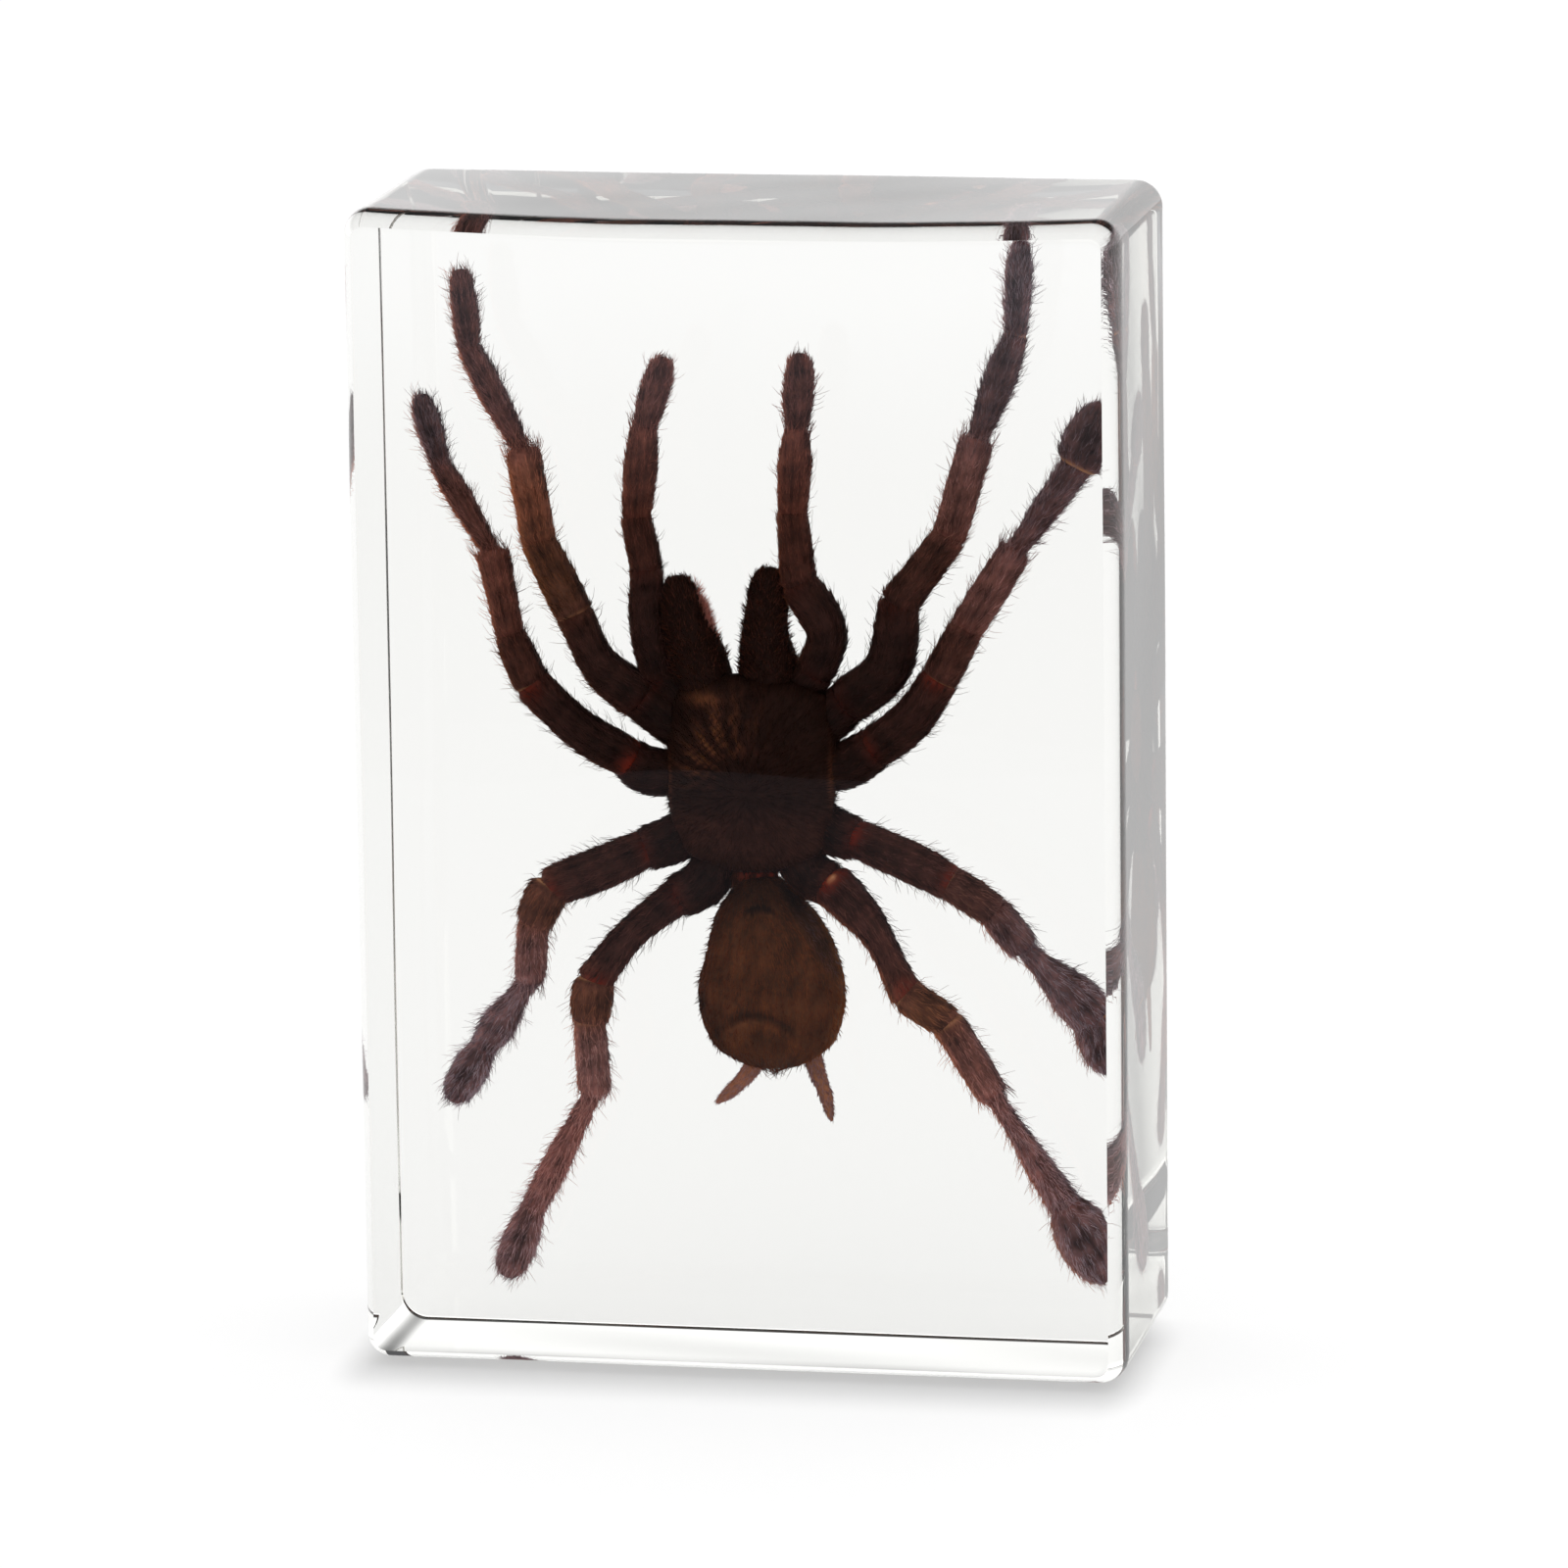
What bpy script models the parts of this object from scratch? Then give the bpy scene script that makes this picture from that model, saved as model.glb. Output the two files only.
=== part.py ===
# A tarantula sealed in a clear resin block that stands on its short end.
# Metres, +Z up. The origin is the middle of the base. The spider's back faces the front, -Y.

import bmesh
import bpy
from mathutils import Matrix, Vector

MM = 0.001

# Driving dimensions of the block
BLOCK_WIDTH = 73 * MM
BLOCK_DEPTH = 28 * MM
BLOCK_HEIGHT = 110 * MM
EDGE_RADIUS = 1.5 * MM
EDGE_SEGMENTS = 3

# The block is parted at its middle, and a pocket a little larger than the spider holds it
PARTING_GAP = 0.3 * MM
POCKET_CLEARANCE = 0.55 * MM

# The limbs are tubes of this many sides, 4 + 2 for each step of bevel resolution
LIMB_BEVEL_RESOLUTION = 2
POCKET_BEVEL_RESOLUTION = 1
BODY_SEGMENTS = 18
BODY_RINGS = 12
WELD_DISTANCE = 0.001 * MM

# Joints of each leg in mm, as (across, back, up): hip, trochanter, thigh bend, knee, the knee's
# far end, shin end, ankle and toe. The knees arch towards the front face and the toes sink back.
LEG_JOINTS = {
    "leg_left_1": (
        (-7.5, 0.8, 61.0), (-10.5, 0.0, 63.0), (-14.0, -1.2, 66.25), (-16.0, -2.0, 71.25),
        (-19.25, -2.0, 78.0), (-21.0, -0.8, 86.25), (-26.0, 0.8, 95.75), (-26.75, 1.2, 103.5)),
    "leg_left_2": (
        (-9.25, 0.8, 55.75), (-11.25, 0.0, 57.0), (-15.75, -1.2, 60.0), (-20.25, -2.0, 64.5),
        (-22.25, -2.0, 69.0), (-24.25, -0.8, 76.5), (-29.25, 0.8, 84.75), (-31.0, 1.2, 91.5)),
    "leg_left_3": (
        (-6.75, 0.8, 49.5), (-10.0, 0.0, 48.5), (-14.25, -1.2, 46.75), (-19.0, -2.0, 45.0),
        (-20.5, -2.0, 41.5), (-21.5, -0.8, 36.0), (-25.75, 0.8, 29.0), (-29.0, 1.2, 23.5)),
    "leg_left_4": (
        (-5.0, 0.8, 46.0), (-7.5, 0.0, 44.0), (-11.75, -1.2, 40.5), (-14.75, -2.0, 36.0),
        (-15.25, -2.0, 32.25), (-15.25, -0.8, 25.5), (-21.25, 0.8, 13.5), (-24.0, 1.2, 6.5)),
    "leg_right_1": (
        (7.5, 0.8, 61.5), (9.5, 0.0, 63.25), (13.5, -1.2, 66.75), (14.5, -2.0, 73.0),
        (19.25, -2.0, 79.25), (22.0, -0.8, 88.0), (25.5, 0.8, 97.75), (26.0, 1.2, 107.25)),
    "leg_right_2": (
        (8.75, 0.8, 56.25), (12.0, 0.0, 58.5), (15.5, -1.2, 61.5), (18.0, -2.0, 66.0),
        (20.5, -2.0, 70.75), (25.5, -0.8, 77.5), (32.0, 0.8, 85.5), (33.25, 1.2, 92.25)),
    "leg_right_3": (
        (7.5, 0.8, 50.5), (10.0, 0.0, 50.0), (15.25, -1.2, 48.25), (19.25, -2.0, 46.5),
        (23.5, -2.0, 44.0), (26.0, -0.8, 40.75), (32.0, 0.8, 33.0), (33.25, 1.2, 28.25)),
    "leg_right_4": (
        (5.0, 0.8, 46.5), (7.0, 0.0, 45.5), (11.5, -1.2, 42.0), (15.5, -2.0, 36.0),
        (19.25, -2.0, 33.5), (23.0, -0.8, 26.5), (29.5, 0.8, 15.0), (32.75, 1.2, 9.0)),
}

# Half widths in mm along each part of a leg, as (fraction of its length, half width).
# They take in the coat of short hair.
LEG_PARTS = (
    ("coxa", ((0.0, 2.4), (0.6, 2.2))),
    ("femur_near", ((0.0, 2.05), (0.5, 2.0))),
    ("femur_far", ((0.0, 1.9), (0.7, 2.0))),
    ("patella", ((0.0, 1.8), (0.5, 1.9))),
    ("tibia", ((0.0, 1.65), (0.3, 1.7), (0.9, 1.65))),
    ("metatarsus", ((0.0, 0.95), (0.35, 1.2), (0.8, 1.5))),
)
SLIM_TARSUS = ((0.0, 1.1), (0.3, 1.45), (0.75, 1.45), (1.0, 0.7))
BROAD_TARSUS = ((0.0, 1.2), (0.4, 1.75), (0.75, 1.75), (1.0, 0.9))
SPREAD_TARSUS = ((0.0, 1.4), (0.4, 2.2), (0.75, 2.1), (1.0, 1.1))
TARSI = {
    "leg_left_3": BROAD_TARSUS,
    "leg_left_4": BROAD_TARSUS,
    "leg_right_2": BROAD_TARSUS,
    "leg_right_3": BROAD_TARSUS,
    "leg_right_4": SPREAD_TARSUS,
}

# Joints and half widths of the two palps, which have no metatarsus
PALP_JOINTS = {
    "palp_left": (
        (-6.5, 0.5, 63.75), (-8.5, 0.0, 65.0), (-9.5, -0.8, 70.0), (-9.25, -1.2, 75.5),
        (-10.25, -1.0, 80.25), (-9.5, 0.0, 88.5), (-7.5, 0.6, 95.5)),
    "palp_right": (
        (5.0, 0.5, 64.0), (6.5, 0.0, 65.25), (7.75, -0.8, 69.5), (5.5, -1.2, 74.25),
        (4.75, -1.0, 81.0), (5.0, 0.0, 88.5), (5.25, 0.6, 96.0)),
}
PALP_PARTS = (
    ("coxa", ((0.0, 1.8), (0.6, 1.8))),
    ("femur_near", ((0.0, 1.75), (0.5, 1.8))),
    ("femur_far", ((0.0, 1.75), (0.5, 1.6))),
    ("patella", ((0.0, 1.5), (0.5, 1.6))),
    ("tibia", ((0.0, 1.4), (0.4, 1.55), (0.85, 1.5))),
)
PALP_TARSUS = ((0.0, 1.25), (0.4, 1.5), (0.8, 1.5), (1.0, 0.7))

# Each limb's root runs this far from the body's middle to its hip, inside the body
SPIDER_CENTRE = (0.25, 0.5, 56.0)
ROOT_FRACTION = 0.45
ROOT_HALF_WIDTH = 1.9

# Jaws, waist and spinnerets: short tapering tubes, as (points in mm, half widths in mm)
SHORT_TUBES = {
    "chelicera_left": (
        ((-3.5, 0.0, 60.5), (-4.75, -0.4, 66.0), (-5.5, -0.6, 70.0), (-6.5, -0.4, 74.25)),
        (2.2, 2.7, 2.2, 1.2)),
    "chelicera_right": (
        ((1.5, 0.0, 60.5), (1.75, -0.4, 66.0), (2.0, -0.6, 70.0), (2.0, -0.4, 74.75)),
        (2.2, 2.5, 2.1, 1.2)),
    "pedicel": (((0.25, 0.5, 50.0), (1.0, 0.5, 42.0)), (1.5, 1.5)),
    "spinneret_left": (((1.5, 0.5, 31.0), (-0.5, 0.5, 27.0), (-3.5, 0.8, 24.25)), (1.1, 0.9, 0.4)),
    "spinneret_right": (((5.0, 0.5, 31.0), (6.0, 0.5, 27.5), (7.25, 0.8, 23.0)), (1.1, 0.9, 0.4)),
}

# Carapace and abdomen: eggs, as (centre in mm, half sizes in mm, how much the top narrows)
BODY_EGGS = {
    "carapace": ((0.25, -0.4, 56.25), (7.7, 3.6, 9.5), 0.1),
    "abdomen": ((2.0, 0.2, 37.25), (6.8, 4.8, 9.2), 0.3),
}

# Finishes, as (linear red, green, blue), roughness and share of light let through
SPIDER_FINISH = ((0.030, 0.014, 0.009), 0.6, 0.0)
RESIN_FINISH = ((0.95, 0.95, 0.93), 0.05, 0.95)
RESIN_IOR = 1.55


def clear_scene():
    """Removes everything that a new file starts with."""
    for obj in list(bpy.data.objects):
        bpy.data.objects.remove(obj)


def new_collection(name):
    """A collection linked to the scene."""
    collection = bpy.data.collections.new(name)
    bpy.context.scene.collection.children.link(collection)
    return collection


def make_material(name, colour, roughness, transmission):
    """A Principled material with the real thing's colour and gloss."""
    material = bpy.data.materials.new(name)
    material.use_nodes = True
    shader = material.node_tree.nodes["Principled BSDF"]
    shader.inputs["Base Color"].default_value = (*colour, 1.0)
    shader.inputs["Roughness"].default_value = roughness
    shader.inputs["Metallic"].default_value = 0.0
    shader.inputs["Transmission Weight"].default_value = transmission
    if transmission > 0:
        shader.inputs["IOR"].default_value = RESIN_IOR
    return material


def add_mesh_object(name, bm, collection, material=None):
    """Turns a bmesh into a named object."""
    mesh = bpy.data.meshes.new(name)
    bm.to_mesh(mesh)
    bm.free()
    if material is not None:
        mesh.materials.append(material)
    obj = bpy.data.objects.new(name, mesh)
    collection.objects.link(obj)
    return obj


def hide_as_cutter(obj):
    """Marks an object that only cuts or joins another one."""
    obj.hide_render = True
    obj.display_type = "WIRE"


def add_boolean(target, operation, operand):
    """A live Boolean modifier with the exact solver."""
    modifier = target.modifiers.new(f"{operation.lower()} {operand.name}", "BOOLEAN")
    modifier.operation = operation
    modifier.solver = "EXACT"
    modifier.object = operand


def tube(name, points, half_widths, resolution, collection):
    """A closed tube along points in mm, with its own half width in mm at each point."""
    curve = bpy.data.curves.new(name, "CURVE")
    curve.dimensions = "3D"
    curve.bevel_depth = MM
    curve.bevel_resolution = resolution
    curve.use_fill_caps = True
    spline = curve.splines.new("POLY")
    spline.points.add(len(points) - 1)
    for point, place, half_width in zip(spline.points, points, half_widths):
        point.co = (*(Vector(place) * MM), 1.0)
        point.radius = half_width
    guide = bpy.data.objects.new(name + "_guide", curve)
    collection.objects.link(guide)

    depsgraph = bpy.context.evaluated_depsgraph_get()
    mesh = bpy.data.meshes.new_from_object(guide.evaluated_get(depsgraph))
    bm = bmesh.new()
    bm.from_mesh(mesh)
    bpy.data.meshes.remove(mesh)
    bmesh.ops.remove_doubles(bm, verts=bm.verts, dist=WELD_DISTANCE)
    bmesh.ops.recalc_face_normals(bm, faces=bm.faces)
    bpy.data.objects.remove(guide)
    bpy.data.curves.remove(curve)
    obj = add_mesh_object(name, bm, collection)
    hide_as_cutter(obj)
    return obj


def limb_stations(joints, parts, tip):
    """Points and half widths along a limb: a root inside the body, each part, and the tip."""
    centre = Vector(SPIDER_CENTRE)
    root = centre.lerp(Vector(joints[0]), ROOT_FRACTION)
    points = [root]
    half_widths = [ROOT_HALF_WIDTH]
    outlines = [outline for _, outline in parts] + [tip]
    for start, end, outline in zip(joints, joints[1:], outlines):
        for fraction, half_width in outline:
            points.append(Vector(start).lerp(Vector(end), fraction))
            half_widths.append(half_width)
    return points, half_widths


def pocket_stations(joints, parts, tip):
    """A plainer outline round a limb: its joints alone, each as wide as the parts beside it."""
    widest = [max(w for _, w in outline) for _, outline in parts] + [max(w for _, w in tip)]
    beside = [max(pair) for pair in zip([ROOT_HALF_WIDTH] + widest, widest + [widest[-1]])]
    last_step = Vector(joints[-1]) - Vector(joints[-2])
    toe = Vector(joints[-1]) + last_step.normalized() * POCKET_CLEARANCE / MM
    root = Vector(SPIDER_CENTRE).lerp(Vector(joints[0]), ROOT_FRACTION)
    points = [root] + [Vector(joint) for joint in joints[:-1]] + [toe]
    half_widths = [ROOT_HALF_WIDTH] + beside
    return points, [width + POCKET_CLEARANCE / MM for width in half_widths]


def egg(name, centre, half_sizes, narrowing, grow, collection):
    """An egg from a sphere, whose width shrinks towards the top. It grows by grow all round."""
    bm = bmesh.new()
    bmesh.ops.create_uvsphere(bm, u_segments=BODY_SEGMENTS, v_segments=BODY_RINGS, radius=1.0)
    for vert in bm.verts:
        vert.co.x *= 1.0 - narrowing * vert.co.z
    sizes = [size * MM + grow for size in half_sizes]
    bmesh.ops.scale(bm, vec=sizes, verts=bm.verts)
    bmesh.ops.translate(bm, vec=Vector(centre) * MM, verts=bm.verts)
    return add_mesh_object(name, bm, collection)


def add_limbs(target, collection, prefix, stations, resolution):
    """Builds every leg and palp by the given rule and joins them to the target."""
    for name, joints in LEG_JOINTS.items():
        points, half_widths = stations(joints, LEG_PARTS, TARSI.get(name, SLIM_TARSUS))
        add_boolean(target, "UNION", tube(prefix + name, points, half_widths, resolution, collection))
    for name, joints in PALP_JOINTS.items():
        points, half_widths = stations(joints, PALP_PARTS, PALP_TARSUS)
        add_boolean(target, "UNION", tube(prefix + name, points, half_widths, resolution, collection))


def add_short_tubes(target, collection, prefix, grow, resolution):
    """Builds the jaws, waist and spinnerets, longer and wider by grow, and joins them."""
    for name, (places, half_widths) in SHORT_TUBES.items():
        points = [Vector(place) for place in places]
        points[-1] = points[-1] + (points[-1] - points[-2]).normalized() * grow / MM
        wider = [width + grow / MM for width in half_widths]
        add_boolean(target, "UNION", tube(prefix + name, points, wider, resolution, collection))


def build_body(name, prefix, grow, home, cutters):
    """The carapace with the abdomen joined to it."""
    carapace = egg(name, *BODY_EGGS["carapace"], grow, home)
    abdomen = egg(prefix + "abdomen", *BODY_EGGS["abdomen"], grow, cutters)
    hide_as_cutter(abdomen)
    add_boolean(carapace, "UNION", abdomen)
    return carapace


def build_tarantula(parts, cutters, material):
    """The spider: carapace, abdomen, jaws, waist, spinnerets, legs and palps, all one body."""
    tarantula = build_body("tarantula", "", 0.0, parts, cutters)
    tarantula.data.materials.append(material)
    add_short_tubes(tarantula, cutters, "", 0.0, LIMB_BEVEL_RESOLUTION)
    add_limbs(tarantula, cutters, "", limb_stations, LIMB_BEVEL_RESOLUTION)
    return tarantula


def build_pocket(cutters):
    """The hollow round the spider, with plainer limbs."""
    pocket = build_body("pocket", "pocket_", POCKET_CLEARANCE, cutters, cutters)
    hide_as_cutter(pocket)
    add_short_tubes(pocket, cutters, "pocket_", POCKET_CLEARANCE, POCKET_BEVEL_RESOLUTION)
    add_limbs(pocket, cutters, "pocket_", pocket_stations, POCKET_BEVEL_RESOLUTION)
    return pocket


def box(name, size, centre, collection):
    """A plain box of a given size about a centre."""
    bm = bmesh.new()
    bmesh.ops.create_cube(bm, size=1.0, matrix=Matrix.Translation(centre) @ Matrix.Diagonal((*size, 1.0)))
    return add_mesh_object(name, bm, collection)


def build_resin_half(name, side, pocket, parts, cutters, material):
    """One half of the block: side is -1 for the front and +1 for the back."""
    block_size = Vector((BLOCK_WIDTH, BLOCK_DEPTH, BLOCK_HEIGHT))
    block_centre = Vector((0, 0, BLOCK_HEIGHT / 2))
    half = box(name, block_size, block_centre, parts)
    half.data.materials.append(material)
    rounding = half.modifiers.new("rounded edges", "BEVEL")
    rounding.width = EDGE_RADIUS
    rounding.segments = EDGE_SEGMENTS
    rounding.limit_method = "NONE"

    # The whole block takes the pocket before it is parted. The keeper reaches past the block on
    # every side but the parting plane.
    add_boolean(half, "DIFFERENCE", pocket)
    keeper_centre = block_centre + Vector((0, side * (BLOCK_DEPTH + PARTING_GAP / 2), 0))
    keeper_size = (2 * BLOCK_WIDTH, 2 * BLOCK_DEPTH, 2 * BLOCK_HEIGHT)
    keeper = box(name + "_keeper", keeper_size, keeper_centre, cutters)
    hide_as_cutter(keeper)
    add_boolean(half, "INTERSECT", keeper)


def shade_smooth(obj):
    """Smooth shading on a round form."""
    for polygon in obj.data.polygons:
        polygon.use_smooth = True


clear_scene()
parts = new_collection("tarantula_in_resin_block")
cutters = new_collection("cutters")
resin = make_material("clear_resin", *RESIN_FINISH)
cuticle = make_material("spider_hair_and_shell", *SPIDER_FINISH)

tarantula = build_tarantula(parts, cutters, cuticle)
shade_smooth(tarantula)
pocket = build_pocket(cutters)
build_resin_half("resin_front", -1, pocket, parts, cutters, resin)
build_resin_half("resin_back", 1, pocket, parts, cutters, resin)
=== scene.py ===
import math

import bmesh
import bpy
import numpy as np
from mathutils import Matrix, Vector


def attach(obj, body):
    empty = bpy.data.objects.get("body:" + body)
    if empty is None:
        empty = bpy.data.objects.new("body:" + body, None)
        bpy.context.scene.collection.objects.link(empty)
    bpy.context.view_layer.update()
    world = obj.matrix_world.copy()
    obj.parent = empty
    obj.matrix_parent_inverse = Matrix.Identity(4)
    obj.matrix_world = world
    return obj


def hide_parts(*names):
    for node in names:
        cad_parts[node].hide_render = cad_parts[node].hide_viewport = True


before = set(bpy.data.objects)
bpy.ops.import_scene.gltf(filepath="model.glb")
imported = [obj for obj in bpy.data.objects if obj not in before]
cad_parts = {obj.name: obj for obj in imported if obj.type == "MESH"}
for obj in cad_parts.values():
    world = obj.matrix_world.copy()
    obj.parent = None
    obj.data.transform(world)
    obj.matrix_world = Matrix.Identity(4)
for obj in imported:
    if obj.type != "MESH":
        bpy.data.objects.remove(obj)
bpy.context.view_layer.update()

MM = 0.001

# The place where the block stands for its picture: a white table with a sweep behind it, lit all round.
# The room on the camera's side is darker, which gives the resin its grey edges and leaves the spider dark.
CAMERA_PLACE = (0.1801, -0.8955, 0.2432)
CAMERA_YAW = math.radians(-11.23)
CAMERA_PITCH = math.radians(-11.7)
CAMERA_ROLL = math.radians(-0.76)
CAMERA_LENS = 227.6
CAMERA_SENSOR = 36
CAMERA_REACH = (0.05, 20)
WHITE = (1, 1, 1, 1)
BACKDROP_LIGHT = 1.4
BACKDROP_TOP = (0.19, 0.42)
BACKDROP_FRONT = (-0.55, -0.1)
ABOVE_BACKDROP_LIGHT = 0.1
ROOM_LIGHT = 0.14
FILL_LIGHT = 1.35
TABLE_RADIUS = 3.0
TABLE_DROP = 0.2 * MM
TABLE_COLOUR = (0.24, 0.24, 0.24, 1)
TABLE_GLOW = 0.71
FOOT = (34.5 * MM, 8 * MM)
FOOT_MIDDLE = -4.5 * MM
FOOT_SHADE = 0.6
FOOT_SHADE_REACH = 12 * MM
FOOT_SHADE_NARROWING = 2.3
FLAG_NEAR_EDGE = -12.1 * MM
FLAG_MIDDLE_EDGE = -288 * MM
FLAG_FAR_EDGE = -900 * MM
FLAG_SLANT = -0.085
FLAG_NEAR_LIGHT = 0.11
FLAG_FAR_LIGHT = 0.6
FLAG_FAR_FADE = (-480 * MM, -660 * MM)
FLAG_TINT = (0.86, 0.88, 1, 1)
FLAG_HEIGHT = 0.3 * MM


def place_camera():
    """Looks along forward, with its right side level and then rolled about forward."""
    yaw, pitch, roll = CAMERA_YAW, CAMERA_PITCH, CAMERA_ROLL
    forward = Vector((math.sin(yaw) * math.cos(pitch), math.cos(yaw) * math.cos(pitch), math.sin(pitch)))
    level = Vector((math.cos(yaw), -math.sin(yaw), 0))
    upright = level.cross(forward)
    right = math.cos(roll) * level + math.sin(roll) * upright
    up = math.cos(roll) * upright - math.sin(roll) * level
    camera = bpy.data.objects.new("camera", bpy.data.cameras.new("camera"))
    camera.data.lens = CAMERA_LENS
    camera.data.sensor_width = CAMERA_SENSOR
    camera.data.clip_start, camera.data.clip_end = CAMERA_REACH
    turned = Matrix((right, up, -forward)).transposed().to_4x4()
    camera.matrix_world = Matrix.Translation(CAMERA_PLACE) @ turned
    bpy.context.scene.collection.objects.link(camera)
    bpy.context.scene.camera = camera


def number_of(tree, operation, *values):
    """A Math node's output; each value is a number or another node's output."""
    node = tree.nodes.new("ShaderNodeMath")
    node.operation = operation
    for socket, value in zip(node.inputs, values):
        if isinstance(value, (int, float)):
            socket.default_value = value
        else:
            tree.links.new(value, socket)
    return node.outputs[0]


def ramp_of(tree, value, place, result, interpolation="LINEAR"):
    """A Map Range node's output, running from end to end of the result as the value runs over the place."""
    node = tree.nodes.new("ShaderNodeMapRange")
    node.interpolation_type = interpolation
    for name, given in zip(("Value", "From Min", "From Max", "To Min", "To Max"), (value, *place, *result)):
        if isinstance(given, (int, float)):
            node.inputs[name].default_value = given
        else:
            tree.links.new(given, node.inputs[name])
    return node.outputs["Result"]


def place_of(tree, kind):
    """The outputs X, Y and Z of a kind of texture coordinate."""
    where, parts = tree.nodes.new("ShaderNodeTexCoord"), tree.nodes.new("ShaderNodeSeparateXYZ")
    tree.links.new(where.outputs[kind], parts.inputs[0])
    return parts.outputs


def light_the_room():
    """
    The light depends on direction: a white backdrop behind that darkens above a height, falling smoothly to
    grey in front. What has left a matt surface, or was never reflected, sees white above and a lighter room
    in front, as from lamps that no glass mirrors.
    """
    world = bpy.data.worlds.new("room")
    bpy.context.scene.world = world
    world.use_nodes = True
    tree = world.node_tree
    direction = place_of(tree, "Generated")
    history = tree.nodes.new("ShaderNodeLightPath")
    straight = number_of(tree, "SUBTRACT", 1.0, history.outputs["Glossy Depth"])
    unmirrored = number_of(tree, "MAXIMUM", history.outputs["Diffuse Depth"], straight)
    above = number_of(tree, "MULTIPLY", unmirrored, BACKDROP_LIGHT)
    above = number_of(tree, "MINIMUM", above, BACKDROP_LIGHT)
    behind = ramp_of(tree, direction["Z"], BACKDROP_TOP, (BACKDROP_LIGHT, ABOVE_BACKDROP_LIGHT), "SMOOTHSTEP")
    behind = number_of(tree, "MAXIMUM", behind, above)
    front = ramp_of(tree, unmirrored, (0.0, 1.0), (ROOM_LIGHT, FILL_LIGHT))
    background = tree.nodes["Background"]
    background.inputs["Color"].default_value = WHITE
    tree.links.new(ramp_of(tree, direction["Y"], BACKDROP_FRONT, (front, behind), "SMOOTHSTEP"),
                   background.inputs["Strength"])


def shade_the_foot(tree):
    """
    The table's glow: least where the block's front edge stands, growing to full over the shade's reach by
    smoothstep of the distance from there, and sooner at its two ends. Little shade falls behind the block.
    """
    place = place_of(tree, "Object")
    squares = []
    offsets = place["X"], number_of(tree, "SUBTRACT", place["Y"], FOOT_MIDDLE)
    for offset, half, narrowing in zip(offsets, FOOT, (FOOT_SHADE_NARROWING, 1.0)):
        past = number_of(tree, "SUBTRACT", number_of(tree, "ABSOLUTE", offset), half)
        past = number_of(tree, "MULTIPLY", number_of(tree, "MAXIMUM", past, 0.0), narrowing)
        squares.append(number_of(tree, "MULTIPLY", past, past))
    away = number_of(tree, "SQRT", number_of(tree, "ADD", *squares))
    return ramp_of(tree, away, (0.0, FOOT_SHADE_REACH), (FOOT_SHADE * TABLE_GLOW, TABLE_GLOW), "SMOOTHSTEP")


def put_in_scene(name, points, faces, finish):
    """A new object at the origin, whose mesh has the points, the faces and the finish."""
    mesh = bpy.data.meshes.new(name)
    mesh.from_pydata(points, [], faces)
    mesh.materials.append(finish)
    piece = bpy.data.objects.new(name, mesh)
    bpy.context.scene.collection.objects.link(piece)
    return piece


def new_finish(name, settings):
    """A new material, its node tree and its Principled shader, whose own sockets take the settings."""
    finish = bpy.data.materials.new(name)
    finish.use_nodes = True
    coat = finish.node_tree.nodes["Principled BSDF"]
    for socket, value in settings.items():
        coat.inputs[socket].default_value = value
    return finish, finish.node_tree, coat


def lay_the_table():
    """A round sheet: radius times cosine and sine of the angle, in rings that widen outwards."""
    rings, sides = 12, 96
    radius = TABLE_RADIUS * (np.arange(1, rings + 1) / rings) ** 2
    angle = np.arange(sides) * 2 * np.pi / sides
    x = radius[:, None] * np.cos(angle)
    y = radius[:, None] * np.sin(angle)
    points = np.stack([x, y, np.full_like(x, -TABLE_DROP)], -1).reshape(-1, 3)
    points = np.vstack([points, [[0, 0, -TABLE_DROP]]])
    here = np.arange(rings * sides).reshape(rings, sides)
    after = np.roll(here, -1, axis=1)
    quads = np.stack([here[:-1], here[1:], after[1:], after[:-1]], -1).reshape(-1, 4)
    centre = np.stack([np.full(sides, rings * sides), here[0], after[0]], -1)
    finish, tree, coat = new_finish("white table", {
        "Base Color": TABLE_COLOUR, "Roughness": 1.0, "Specular IOR Level": 0.0, "Emission Color": WHITE})
    tree.links.new(shade_the_foot(tree), coat.inputs["Emission Strength"])
    put_in_scene("table", points.tolist(), quads.tolist() + centre.tolist(), finish)


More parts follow.
